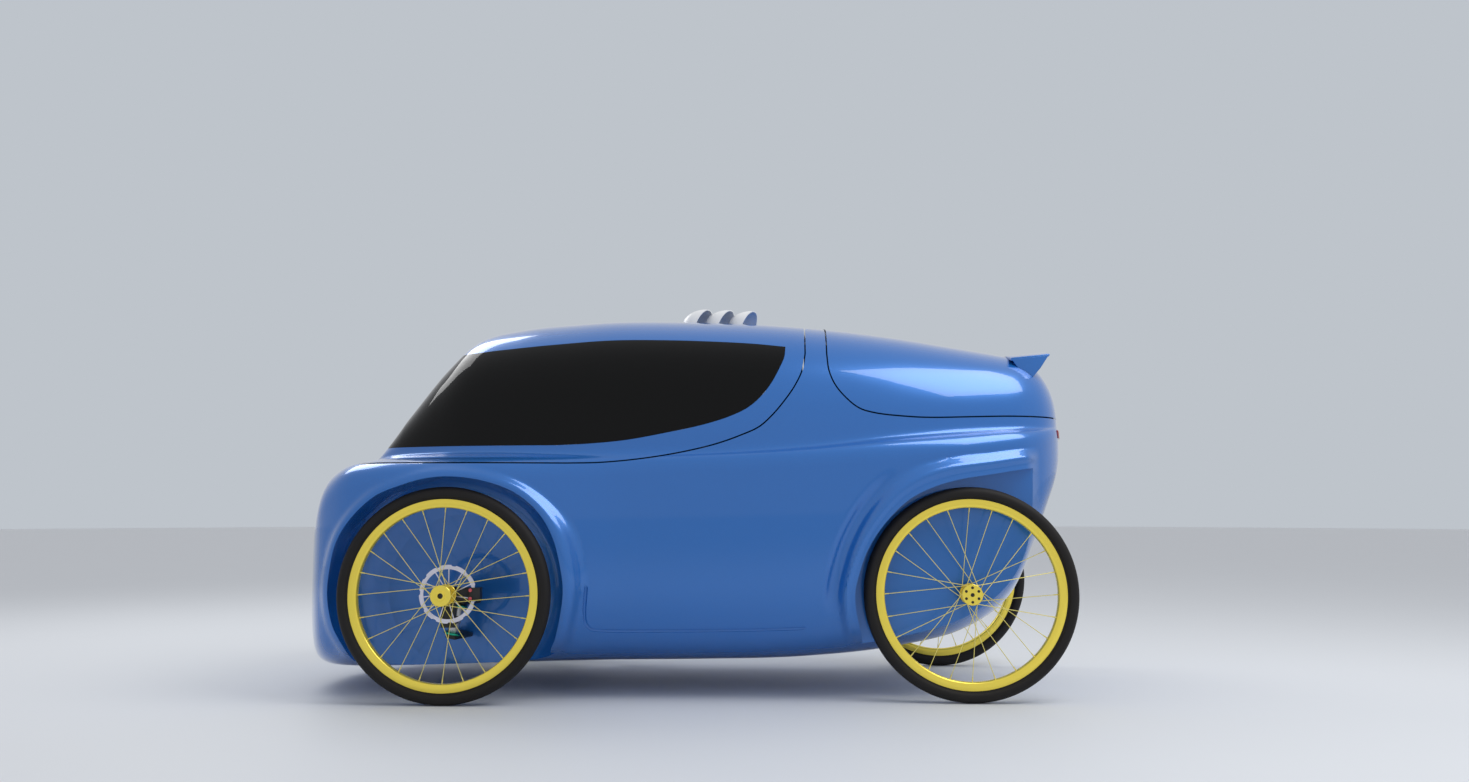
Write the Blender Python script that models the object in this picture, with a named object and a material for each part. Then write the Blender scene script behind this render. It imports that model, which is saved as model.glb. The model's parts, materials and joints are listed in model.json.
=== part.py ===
"""A four-wheeled velomobile with an enclosed cabin, in metres.

X points forward, Y to the left and Z up. The origin is on the ground below the middle of the vehicle.
"""

import math

import bmesh
import bpy
from mathutils import Matrix, Vector

# Main sizes
WHEELBASE = 1.435
TRACK_FRONT = 1.010
TRACK_REAR = 0.800
REAR_AXLE_X = -0.8095
FRONT_AXLE_X = REAR_AXLE_X + WHEELBASE

# Clearances
GAP = 0.0003
SEAM = 0.004

# Tyre and rim
RIM_R = 0.260
TYRE_HEIGHT = 0.0335
TYRE_R = RIM_R + TYRE_HEIGHT
TYRE_WIDTH = 0.040
TYRE_BULGE = 0.002
TYRE_LIP = 0.001
TYRE_ARC_STEPS = 4
TYRE_ARC_START = math.radians(13.4)
RIM_DEPTH = 0.024
RIM_WIDTH = 0.026
RIM_FLANGE = 0.0015
RIM_WELL = 0.0055
RIM_CHAMFER = 0.004
AXLE_Z = TYRE_R

# Facets round turned shapes
WHEEL_FACETS = 32
LOBE_FACETS = 6
BOWL_FACETS = 28
BAR_FACETS = 16
SPOKE_FACETS = 4

# Spokes and hubs
SPOKES = 24
SPOKE_PASS = 0.0016
SPOKE_R = 0.0012
SPOKE_SWEEP = math.radians(52)
HUB_R = 0.012
HUB_FLANGE_R = 0.0285
HUB_FLANGE_T = 0.004
HUB_OUTER = 0.030
HUB_INNER = 0.042
HUB_FLANGE_Y = 0.024
HUB_CAP_DEPTH = 0.008
AXLE_R = 0.0075
ROTOR_R = 0.080
ROTOR_RING = 0.012
ROTOR_T = 0.002
ROTOR_ARMS = 11
ROTOR_LOBE_DROP = 0.003
ROTOR_ARM_HALF = 0.0015
ROTOR_ARM_LEAN = math.radians(9)
ROTOR_CENTRE_R = 0.020

# Shell
SHARPEST_MITRE = 0.3
WALL = 0.006
GLASS_GAP = 0.0005
LOWER_POWER = 4.5
CABIN_POWER = 2.45
HOOD_POWER = 1.8
CABIN_RISE = 0.150
LONGEST_STEP = 0.17
INNER_STEPS = (4, 1, 4)
OUTER_STEPS = (6, 3, 6)
INSET_SHARE = 0.6

# Shell sections: x from the axle, floor height, widest height, shoulder height, roof height,
# hull half width and cabin half width as shares of half that axle's track, crown power
REAR_SECTIONS = (
    (-0.316, 0.700, 0.745, 0.765, 0.800, 0.075, 0.050, 2.2),
    (-0.305, 0.655, 0.735, 0.765, 0.860, 0.325, 0.275, 2.2),
    (-0.285, 0.600, 0.725, 0.765, 0.905, 0.500, 0.430, 2.2),
    (-0.250, 0.520, 0.715, 0.760, 0.952, 0.655, 0.565, 2.2),
    (-0.200, 0.400, 0.705, 0.755, 0.983, 0.787, 0.670, 2.2),
    (-0.130, 0.262, 0.695, 0.750, 0.996, 0.895, 0.762, 2.2),
    (0.000, 0.175, 0.680, 0.740, 1.018, 1.000, 0.862, 2.2),
    (0.190, 0.128, 0.660, 0.725, 1.050, 1.070, 0.950, 2.3),
    (0.450, 0.098, 0.640, 0.698, 1.082, 1.100, 1.005, 2.6),
)
FRONT_SECTIONS = (
    (-0.685, 0.088, 0.622, 0.680, 1.100, 0.875, 0.816, 3.0),
    (-0.435, 0.085, 0.608, 0.674, 1.104, 0.887, 0.816, 3.0),
    (-0.285, 0.083, 0.602, 0.674, 1.096, 0.939, 0.808, 3.0),
    (-0.135, 0.080, 0.600, 0.676, 1.082, 1.004, 0.782, 3.0),
    (0.000, 0.076, 0.598, 0.676, 1.050, 1.034, 0.737, 3.0),
    (0.085, 0.073, 0.596, 0.675, 0.975, 1.038, 0.683, 3.0),
    (0.185, 0.070, 0.592, 0.673, 0.845, 1.030, 0.594, 3.0),
    (0.255, 0.068, 0.586, 0.668, 0.745, 1.006, 0.505, 3.0),
    (0.285, 0.067, 0.578, 0.664, 0.700, 0.988, 0.451, 3.0),
    (0.325, 0.066, 0.555, 0.655, 0.668, 0.947, 0.366, 2.9),
    (0.375, 0.066, 0.500, 0.634, 0.640, 0.867, 0.277, 2.7),
    (0.415, 0.068, 0.430, 0.587, 0.592, 0.729, 0.208, 2.5),
    (0.450, 0.072, 0.360, 0.516, 0.520, 0.554, 0.149, 2.4),
    (0.475, 0.080, 0.300, 0.441, 0.444, 0.396, 0.099, 2.3),
    (0.493, 0.098, 0.250, 0.351, 0.353, 0.228, 0.055, 2.2),
    (0.500, 0.150, 0.200, 0.251, 0.252, 0.059, 0.016, 2.2),
)

# Side outlines, measured from the rear axle: x, z
CANOPY_SEAM_Z = 0.655
ROOF_CLEAR_Z = 1.200
NOSE_CLEAR_X = WHEELBASE + 0.615
TAIL_CLEAR_X = -0.450
CANOPY_OUTLINE = (
    (0.452, ROOF_CLEAR_Z), (0.452, 0.970), (0.461, 0.920), (0.482, 0.874), (0.511, 0.831),
    (0.547, 0.788), (0.582, 0.757), (0.632, 0.734), (0.703, 0.709), (0.810, 0.684),
    (0.916, 0.667), (1.024, 0.657), (1.110, CANOPY_SEAM_Z), (NOSE_CLEAR_X, CANOPY_SEAM_Z),
    (NOSE_CLEAR_X, ROOF_CLEAR_Z),
)
GLASS_OUTLINE = (
    (NOSE_CLEAR_X, 0.990), (1.421, 0.984), (1.324, 0.992), (1.159, 1.006), (1.009, 1.016),
    (0.837, 1.015), (0.711, 1.010), (0.600, 1.003), (0.507, 0.993), (0.510, 0.961),
    (0.521, 0.932), (0.546, 0.882), (0.575, 0.843), (0.611, 0.811), (0.661, 0.786),
    (0.740, 0.761), (0.848, 0.738), (0.955, 0.719), (1.063, 0.709), (1.150, 0.705),
    (NOSE_CLEAR_X, 0.705),
)
LID_OUTLINE = (
    (0.386, ROOF_CLEAR_Z), (TAIL_CLEAR_X, ROOF_CLEAR_Z), (TAIL_CLEAR_X, 0.795), (-0.136, 0.792),
    (-0.016, 0.788), (0.095, 0.785), (0.160, 0.787), (0.255, 0.797), (0.300, 0.811),
    (0.340, 0.845), (0.366, 0.880), (0.381, 0.920), (0.386, 0.970),
)

# Wheel arches, from the foot of one side to the other:
# degrees up from straight ahead, clearance outside the tyre, flare width, flare height
FRONT_ARCH = (
    (227.9, 0.102, 0.000, 0.000), (210.8, 0.024, 0.058, 0.022), (203.2, 0.025, 0.058, 0.028),
    (190.9, 0.025, 0.056, 0.034), (177.8, 0.030, 0.054, 0.038), (164.8, 0.033, 0.054, 0.038),
    (151.7, 0.041, 0.050, 0.034), (138.6, 0.046, 0.036, 0.028), (124.3, 0.044, 0.026, 0.022),
    (108.7, 0.034, 0.020, 0.018), (92.7, 0.028, 0.018, 0.015), (80.6, 0.026, 0.018, 0.014),
    (68.1, 0.026, 0.019, 0.013), (54.5, 0.034, 0.021, 0.012), (38.1, 0.037, 0.024, 0.012),
    (24.9, 0.040, 0.028, 0.012), (10.9, 0.036, 0.032, 0.012), (-0.3, 0.037, 0.032, 0.012),
    (-14.6, 0.037, 0.032, 0.010), (-27.5, 0.039, 0.030, 0.008), (-46.3, 0.112, 0.000, 0.000),
)
REAR_ARCH = (
    (-45.3, 0.119, 0.000, 0.000), (-24.3, 0.031, 0.040, 0.018), (-9.3, 0.025, 0.038, 0.022),
    (0.6, 0.025, 0.036, 0.024), (8.9, 0.020, 0.036, 0.024), (23.8, 0.015, 0.038, 0.024),
    (39.5, 0.012, 0.044, 0.024), (55.6, 0.015, 0.050, 0.024), (67.2, 0.016, 0.054, 0.024),
    (82.1, 0.020, 0.052, 0.022), (102.3, 0.044, 0.046, 0.018), (118.2, 0.100, 0.042, 0.014),
    (140.5, 0.290, 0.000, 0.000), (213.1, 0.244, 0.000, 0.000),
)

# Cross section of a flare: share of its width out from the arch's edge, share of its height
FLARE_PROFILE = ((-0.30, 0.85), (0.15, 1.00), (0.60, 0.72))
FLARE_SINK = 0.006
FLARE_ROOT = 0.020
FLARE_SHIFT = 0.002

# Inside of the front wheel wells: distance out from the inner wall, radius beyond the tyre
WELL_BOWL = ((0.000, -0.0785), (0.012, -0.0315), (0.030, -0.0015), (0.052, 0.0205), (0.076, 0.0345))
WELL_BOWL_DEPTH = 0.064
WELL_DEPTH = 0.205
WELL_INNER_Y = TRACK_FRONT / 2 - WELL_DEPTH
TAIL_SIDE_GAP = 0.065
TAIL_HALF_WIDTH = TRACK_REAR / 2 - TAIL_SIDE_GAP
SIDE_CLEAR_Y = 0.700

# Kingpins, arms and knuckles
KINGPIN_INSET = 0.087
KINGPIN_Y = TRACK_FRONT / 2 - KINGPIN_INSET
KINGPIN_BACK = 0.012
KINGPIN_CASTER = math.radians(13)
KINGPIN_R = 0.015
KINGPIN_HALF = 0.036
KINGPIN_Z = 0.222
RING_T = 0.006
RING_R = 0.0245
ARM_T = 0.012
ARM_WIDTH = 0.060
UPRIGHT_T = 0.010
UPRIGHT_HALF = 0.020
UPRIGHT_CLEAR = 0.003
UPRIGHT_LAP = 0.002
ARM_TIP_REACH = 0.010
ARM_TIP_HALF = 0.014

# Brake calipers, from the axle towards the tail
CALIPER_NEAR = 0.058
CALIPER_FAR = 0.092
CALIPER_HALF_HEIGHT = 0.018
CALIPER_SLOT = 0.005
CALIPER_CHEEK = 0.007

# Rear stub axles
REAR_BOSS_R = 0.024
REAR_BOSS_TIP_R = 0.016

# Hinge barrels
HINGE_R = 0.005
HINGE_SINK = 0.002
CANOPY_HINGE_HALF = 0.050
LID_HINGE_HALF = 0.060

# Seat, from the rear axle: x, z along its middle line
SEAT_LINE = (
    (1.020, 0.265), (0.950, 0.215), (0.820, 0.195), (0.710, 0.215), (0.640, 0.300),
    (0.550, 0.490), (0.480, 0.660), (0.440, 0.830),
)
SEAT_HALF_WIDTH = 0.170
SEAT_T = 0.022
RAIL_T = 0.015
RAIL_Y = 0.110
RAIL_FRONT = 0.940
RAIL_REAR = 0.720

# Beam, mast and pedals
BEAM_HALF_WIDTH = 0.030
BEAM_TOP = 0.135
BEAM_REAR = 0.450
BEAM_FRONT = WHEELBASE + 0.185
CRANK_X = WHEELBASE + 0.045
CRANK_Z = 0.345
CRANK_LENGTH = 0.150
CRANK_ARM_T = 0.012
CRANK_ARM_HALF = 0.013
CRANK_AXLE_R = 0.010
MAST_HALF = 0.022
MAST_HEAD_R = 0.024
MAST_HEAD_HALF = 0.034
RUNNING_GAP = 0.005
PEDAL_LENGTH = 0.090
PEDAL_WIDTH = 0.080
PEDAL_T = 0.020

# Steering levers
LEVER_X = 0.980
LEVER_Y = 0.235
LEVER_TOP_X = 0.900
LEVER_TOP_Z = 0.470
LEVER_R = 0.011
LEVER_FACETS = 10
GRIP_R = 0.017
GRIP_LENGTH = 0.110

# Bulkhead behind the seat
BULKHEAD_X = 0.395
BULKHEAD_T = 0.006

# Roof scoops: where each mouth lies ahead of the rear axle
SCOOP_MOUTHS = (0.758, 0.688, 0.615)
SCOOP_LENGTH = 0.075
SCOOP_HALF_WIDTH = 0.045
SCOOP_HEIGHT = 0.052
SCOOP_T = 0.003
SCOOP_TURN = math.radians(18)
SCOOP_FACETS = (16, 8)

# Spoiler on the tail lid, measured from the rear axle at its middle: x, z
SPOILER_TOP = ((-0.158, 0.992), (-0.272, 1.003), (-0.269, 0.995), (-0.158, 0.982))
SPOILER_PLATE = ((-0.160, 0.987), (-0.268, 0.999), (-0.244, 0.962), (-0.222, 0.936), (-0.200, 0.930))
SPOILER_HALF_WIDTH = 0.200
SPOILER_PLATE_T = 0.006
SPOILER_DROP = 0.022
SPOILER_STEPS = 6

# Lamps
LAMP_PROUD = 0.004
NOSE_LAMP_Z = 0.192
NOSE_LAMP_HALF_HEIGHT = 0.011
NOSE_LAMP_HALF_WIDTH = 0.070
TAIL_LAMP_Z = 0.745
TAIL_LAMP_HALF_HEIGHT = 0.012
TAIL_LAMP_HALF_WIDTH = 0.180


def clear_scene():
    for old in list(bpy.data.objects):
        bpy.data.objects.remove(old)


def make_material(name, colour, roughness, metallic):
    """A plain finish of one colour."""
    material = bpy.data.materials.new(name)
    material.use_nodes = True
    shader = material.node_tree.nodes["Principled BSDF"]
    shader.inputs["Base Color"].default_value = (*colour, 1.0)
    shader.inputs["Roughness"].default_value = roughness
    shader.inputs["Metallic"].default_value = metallic
    material.diffuse_color = (*colour, 1.0)
    return material


def add_object(name, bm, material=None, smooth_angle=math.radians(35)):
    """A mesh object made from a bmesh, with its faces pointing out."""
    if bm.calc_volume(signed=True) < 0:
        bmesh.ops.reverse_faces(bm, faces=bm.faces)
    mesh = bpy.data.meshes.new(name)
    bm.to_mesh(mesh)
    bm.free()
    mesh.shade_smooth()
    mesh.set_sharp_from_angle(angle=smooth_angle)
    item = bpy.data.objects.new(name, mesh)
    bpy.context.collection.objects.link(item)
    if material:
        mesh.materials.append(material)
    else:
        item.hide_render = True
        item.display_type = 'WIRE'
    return item


def boolean(item, operation, other, with_self=False):
    """One exact Boolean on an object."""
    modifier = item.modifiers.new(operation.lower(), 'BOOLEAN')
    modifier.operation = operation
    modifier.solver = 'EXACT'
    modifier.use_self = with_self
    modifier.object = other


def quarter(steps, power):
    """Points of a quarter superellipse, from (1, 0) to (0, 1)."""
    points = []
    for step in range(steps + 1):
        angle = math.pi / 2 * step / steps
        points.append((math.cos(angle) ** (2 / power), math.sin(angle) ** (2 / power)))
    return points


def cabin_power(row):
    """How square the cabin's section is: less so where it sinks into the hood."""
    rise = min((row[4] - row[3]) / CABIN_RISE, 1.0)
    return HOOD_POWER + (CABIN_POWER - HOOD_POWER) * rise


def section(row, steps):
    """The half outline of the shell at one section, from the floor's middle to the roof's."""
    x, floor, widest, shoulder, roof, hull, cabin, crown_power = row
    lower_steps, crown_steps, cabin_steps = steps
    points = []
    for across, down in reversed(quarter(lower_steps, LOWER_POWER)):
        points.append((hull * across, widest - (widest - floor) * down))
    for across, up in quarter(crown_steps, crown_power)[1:]:
        points.append((cabin + (hull - cabin) * across, widest + (shoulder - widest) * up))
    for across, up in quarter(cabin_steps, cabin_power(row))[1:]:
        points.append((cabin * across, shoulder + (roof - shoulder) * up))
    return points


def measured_rows(table, axle_x, track):
    """Rows of a section table in metres, with x from the rear axle."""
    rows = []
    for x, floor, widest, shoulder, roof, hull, cabin, crown_power in table:
        rows.append((axle_x + x, floor, widest, shoulder, roof, hull * track / 2, cabin * track / 2,
                     crown_power))
    return rows


SECTIONS = measured_rows(REAR_SECTIONS, 0.0, TRACK_REAR)
SECTIONS += measured_rows(FRONT_SECTIONS, WHEELBASE, TRACK_FRONT)


def smooth_rows():
    """The section table with rows added between those that stand far apart."""
    rows = []
    last = len(SECTIONS) - 1
    for index in range(last):
        before = SECTIONS[max(index - 1, 0)]
        start = SECTIONS[index]
        end = SECTIONS[index + 1]
        after = SECTIONS[min(index + 2, last)]
        rows.append(start)
        length = end[0] - start[0]
        extra = int(length / LONGEST_STEP)
        for step in range(1, extra + 1):
            t = step / (extra + 1)
            row = []
            for a, b, c, d in zip(before, start, end, after):
                slope_b = (c - a) / (end[0] - before[0]) * length
                slope_c = (d - b) / (after[0] - start[0]) * length
                value = (2 * t ** 3 - 3 * t ** 2 + 1) * b + (t ** 3 - 2 * t ** 2 + t) * slope_b
                value += (3 * t ** 2 - 2 * t ** 3) * c + (t ** 3 - t ** 2) * slope_c
                row.append(value)
            rows.append(tuple(row))
    rows.append(SECTIONS[last])
    return rows


def inset_row(row, inset):
    """A section row drawn in by an inset on every side."""
    x, floor, widest, shoulder, roof, hull, cabin, crown_power = row
    start = SECTIONS[0][0]
    end = SECTIONS[-1][0]
    middle = (start + end) / 2
    shrink = 1.0 - 2 * inset / (end - start)
    inset = min(inset, cabin * INSET_SHARE)
    return (middle + (x - middle) * shrink, floor + inset, widest, shoulder - inset, roof - inset,
            hull - inset, cabin - inset, crown_power)


def hull_bmesh(inset=0.0):
    """The whole outer form as one closed skin, drawn in by an inset."""
    bm = bmesh.new()
    rings = []
    steps = INNER_STEPS if inset > GAP else OUTER_STEPS
    for full_row in smooth_rows():
        row = inset_row(full_row, inset)
        half = section(row, steps)
        outline = half + [(-y, z) for y, z in reversed(half[1:-1])]
        x = REAR_AXLE_X + row[0]
        rings.append([bm.verts.new((x, y, z)) for y, z in outline])
    for ring, following in zip(rings, rings[1:]):
        for index in range(len(ring)):
            after = (index + 1) % len(ring)
            bm.faces.new((ring[index], ring[after], following[after], following[index]))
    bm.faces.new(rings[0])
    bm.faces.new(rings[-1])
    bmesh.ops.recalc_face_normals(bm, faces=bm.faces)
    bmesh.ops.triangulate(bm, faces=bm.faces)
    return bm


def grow(points, distance):
    """A closed outline with each side moved outwards by a distance."""
    area = 0.0
    for (x1, z1), (x2, z2) in zip(points, points[1:] + points[:1]):
        area += x1 * z2 - x2 * z1
    turn = 1.0 if area > 0 else -1.0
    result = []
    count = len(points)
    for index in range(count):
        before = Vector(points[index - 1])
        here = Vector(points[index])
        after = Vector(points[(index + 1) % count])
        side_in = (here - before).normalized()
        side_out = (after - here).normalized()
        normal_in = Vector((side_in.y, -side_in.x)) * turn
        normal_out = Vector((side_out.y, -side_out.x)) * turn
        middle = (normal_in + normal_out).normalized()
        reach = distance / max(middle.dot(normal_in), SHARPEST_MITRE)
        result.append(tuple(here + middle * reach))
    return result


def prism_bmesh(points, y_low, y_high):
    """A side outline, measured from the rear axle, as a solid between two Y values."""
    bm = bmesh.new()
    base = [bm.verts.new((REAR_AXLE_X + x, y_low, z)) for x, z in points]
    face = bm.faces.new(base)
    made = bmesh.ops.extrude_face_region(bm, geom=[face])
    for item in made["geom"]:
        if isinstance(item, bmesh.types.BMVert):
            item.co.y = y_high
    bmesh.ops.recalc_face_normals(bm, faces=bm.faces)
    return bm


def box_bmesh(low, high):
    """A box between two corners."""
    bm = bmesh.new()
    size = [b - a for a, b in zip(low, high)]
    middle = [(a + b) / 2 for a, b in zip(low, high)]
    place = Matrix.Translation(middle) @ Matrix.Diagonal((*size, 1.0))
    bmesh.ops.create_cube(bm, size=1.0, matrix=place)
    return bm


def lathe_bmesh(profile, segments, closed):
    """A profile of (along Y, radius) points turned about the Y axis."""
    bm = bmesh.new()
    rings = []
    for along, radius in profile:
        if radius < 1e-6:
            rings.append([bm.verts.new((0.0, along, 0.0))])
            continue
        ring = []
        for step in range(segments):
            angle = math.tau * step / segments
            ring.append(bm.verts.new((radius * math.cos(angle), along, radius * math.sin(angle))))
        rings.append(ring)
    pairs = list(zip(rings, rings[1:]))
    if closed:
        pairs.append((rings[-1], rings[0]))
    for ring, following in pairs:
        for index in range(segments):
            after = (index + 1) % segments
            corners = [ring[index % len(ring)], ring[after % len(ring)],
                       following[after % len(following)], following[index % len(following)]]
            unique = list(dict.fromkeys(corners))
            if len(unique) > 2:
                bm.faces.new(unique)
    bmesh.ops.recalc_face_normals(bm, faces=bm.faces)
    return bm


def rod_bmesh(start, end, radius, sides):
    """A straight round bar between two points."""
    bm = bmesh.new()
    start = Vector(start)
    end = Vector(end)
    along = end - start
    turn = along.to_track_quat('Z', 'Y').to_matrix().to_4x4()
    place = Matrix.Translation((start + end) / 2) @ turn
    bmesh.ops.create_cone(bm, cap_ends=True, segments=sides, radius1=radius, radius2=radius,
                          depth=along.length, matrix=place)
    return bm


def join(first, second):
    """Adds the second bmesh to the first."""
    mesh = bpy.data.meshes.new("joined")
    second.to_mesh(mesh)
    second.free()
    first.from_mesh(mesh)
    bpy.data.meshes.remove(mesh)


def moved(bm, place):
    bmesh.ops.transform(bm, matrix=place, verts=bm.verts)
    return bm


# Tyre, rim, spokes and hub of one wheel, turned about Y at the origin with its outer face towards +Y

def tyre_bmesh():
    base = RIM_R - RIM_WELL + GAP
    inside = RIM_WIDTH / 2 - RIM_FLANGE - GAP
    half = TYRE_WIDTH / 2
    bulge = (TYRE_R + base) / 2 + TYRE_BULGE
    profile = [(-inside, base), (-inside, RIM_R + TYRE_LIP)]
    for step in range(TYRE_ARC_STEPS + 1):
        angle = TYRE_ARC_START + (math.pi - 2 * TYRE_ARC_START) * step / TYRE_ARC_STEPS
        profile.append((-half * math.cos(angle), bulge + (TYRE_R - bulge) * math.sin(angle)))
    profile += [(inside, RIM_R + TYRE_LIP), (inside, base)]
    return lathe_bmesh(profile, WHEEL_FACETS, True)


def rim_bmesh():
    half = RIM_WIDTH / 2
    lip = half - RIM_FLANGE
    floor = RIM_R - RIM_WELL
    inner = RIM_R - RIM_DEPTH
    profile = [(-half, RIM_R), (-lip, RIM_R), (-lip, floor), (lip, floor), (lip, RIM_R), (half, RIM_R),
               (half, inner + RIM_CHAMFER), (half - RIM_CHAMFER, inner),
               (RIM_CHAMFER - half, inner), (-half, inner + RIM_CHAMFER)]
    return lathe_bmesh(profile, WHEEL_FACETS, True)


def hub_bmesh(out):
    """A hub with two flanges and an axle bore that opens inboard."""
    bore = AXLE_R + GAP
    flange = HUB_FLANGE_Y - HUB_FLANGE_T / 2
    flange_end = HUB_FLANGE_Y + HUB_FLANGE_T / 2
    foot = HUB_FLANGE_T
    profile = [(HUB_OUTER - HUB_CAP_DEPTH, 0.0), (HUB_OUTER - HUB_CAP_DEPTH, bore), (-HUB_INNER, bore),
               (-HUB_INNER, HUB_R), (-flange_end - foot, HUB_R), (-flange_end, HUB_FLANGE_R),
               (-flange, HUB_FLANGE_R), (-flange + foot, HUB_R), (flange - foot, HUB_R),
               (flange, HUB_FLANGE_R), (HUB_OUTER, HUB_FLANGE_R), (HUB_OUTER, 0.0)]
    return lathe_bmesh([(along * out, radius) for along, radius in profile], BAR_FACETS, False)


def spokes_bmesh():
    """Spokes that lie along tangents, half of them on each flange."""
    bm = bmesh.new()
    rim_reach = RIM_R - RIM_DEPTH + SPOKE_R
    flange_reach = HUB_FLANGE_R - 2 * SPOKE_R
    for index in range(SPOKES):
        side = 1 if index % 2 else -1
        lean = 1 if index % 4 < 2 else -1
        outer = math.tau * index / SPOKES
        inner = outer + lean * SPOKE_SWEEP
        at_flange = side * HUB_FLANGE_Y + lean * SPOKE_PASS
        at_rim = side * 2 * SPOKE_PASS + lean * SPOKE_PASS
        start = (flange_reach * math.cos(inner), at_flange, flange_reach * math.sin(inner))
        end = (rim_reach * math.cos(outer), at_rim, rim_reach * math.sin(outer))
        join(bm, rod_bmesh(start, end, SPOKE_R, SPOKE_FACETS))
    return bm


def rotor_ring_bmesh():
    """The braking ring of a disc, with one lobe for each arm, about Y at the origin."""
    bm = bmesh.new()
    count = ROTOR_ARMS * LOBE_FACETS
    rings = [[], [], [], []]
    for step in range(count):
        angle = math.tau * step / count
        outer = ROTOR_R - ROTOR_LOBE_DROP * (step % LOBE_FACETS == 0)
        inner = ROTOR_R - ROTOR_RING
        corners = ((outer, -ROTOR_T), (outer, ROTOR_T), (inner, ROTOR_T), (inner, -ROTOR_T))
        for ring, (radius, along) in zip(rings, corners):
            ring.append(bm.verts.new((radius * math.cos(angle), along / 2, radius * math.sin(angle))))
    for ring, following in zip(rings, rings[1:] + rings[:1]):
        for index in range(count):
            after = (index + 1) % count
            bm.faces.new((ring[index], ring[after], following[after], following[index]))
    bmesh.ops.recalc_face_normals(bm, faces=bm.faces)
    return bm


def rotor_arms_bmesh():
    """The arms of a disc, from its centre into its ring."""
    bm = bmesh.new()
    half = ROTOR_T / 2
    for index in range(ROTOR_ARMS):
        foot = ROTOR_CENTRE_R - 2 * ROTOR_ARM_HALF
        arm = box_bmesh((0.0, -half, -ROTOR_ARM_HALF),
                        (ROTOR_R - ROTOR_RING / 2 - foot, half, ROTOR_ARM_HALF))
        moved(arm, Matrix.Translation((foot, 0.0, 0.0)) @ Matrix.Rotation(ROTOR_ARM_LEAN, 4, 'Y'))
        join(bm, moved(arm, Matrix.Rotation(math.tau * index / ROTOR_ARMS, 4, 'Y')))
    return bm


def rotor_centre_bmesh():
    """The middle of a disc, with a hole that clears the axle."""
    half = ROTOR_T / 2
    hole = AXLE_R + GAP
    profile = [(-half, ROTOR_CENTRE_R), (half, ROTOR_CENTRE_R), (half, hole), (-half, hole)]
    return lathe_bmesh(profile, BAR_FACETS, True)


def add_wheels(materials):
    """Four wheels, each a tyre and a spoked wheel, with a brake disc on the front pair."""
    places = (
        ("front_left", FRONT_AXLE_X, TRACK_FRONT / 2, 1),
        ("front_right", FRONT_AXLE_X, -TRACK_FRONT / 2, -1),
        ("rear_left", REAR_AXLE_X, TRACK_REAR / 2, 1),
        ("rear_right", REAR_AXLE_X, -TRACK_REAR / 2, -1),
    )
    for name, x, y, out in places:
        place = Matrix.Translation((x, y, AXLE_Z))
        tyre = add_object("tyre_" + name, tyre_bmesh(), materials["rubber"])
        tyre.matrix_world = place
        wheel = add_object("wheel_" + name, rim_bmesh(), materials["gold"])
        hub = add_object("cut_hub_" + name, hub_bmesh(out))
        spokes = add_object("cut_spokes_" + name, spokes_bmesh())
        boolean(wheel, 'UNION', spokes, with_self=True)
        boolean(wheel, 'UNION', hub)
        wheel.matrix_world = place
        hub.matrix_world = place
        spokes.matrix_world = place
        if name.startswith("front"):
            inboard = HUB_INNER + GAP + ROTOR_T / 2
            disc_place = Matrix.Translation((x, y - inboard * out, AXLE_Z))
            disc = add_object("brake_disc_" + name, rotor_ring_bmesh(), materials["steel"])
            arms = add_object("cut_disc_arms_" + name, rotor_arms_bmesh())
            centre = add_object("cut_disc_centre_" + name, rotor_centre_bmesh())
            boolean(disc, 'UNION', arms, with_self=True)
            boolean(disc, 'UNION', centre)
            for item in (disc, arms, centre):
                item.matrix_world = disc_place


def kingpin_point(along):
    """A point on the left kingpin's axis at a distance up along it from its middle."""
    return (FRONT_AXLE_X - KINGPIN_BACK - math.sin(KINGPIN_CASTER) * along, KINGPIN_Y,
            KINGPIN_Z + math.cos(KINGPIN_CASTER) * along)


def sided_box(low, high, out):
    """A box given for the left side, mirrored where out is -1."""
    y_values = sorted((low[1] * out, high[1] * out))
    return box_bmesh((low[0], y_values[0], low[2]), (high[0], y_values[1], high[2]))


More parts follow.
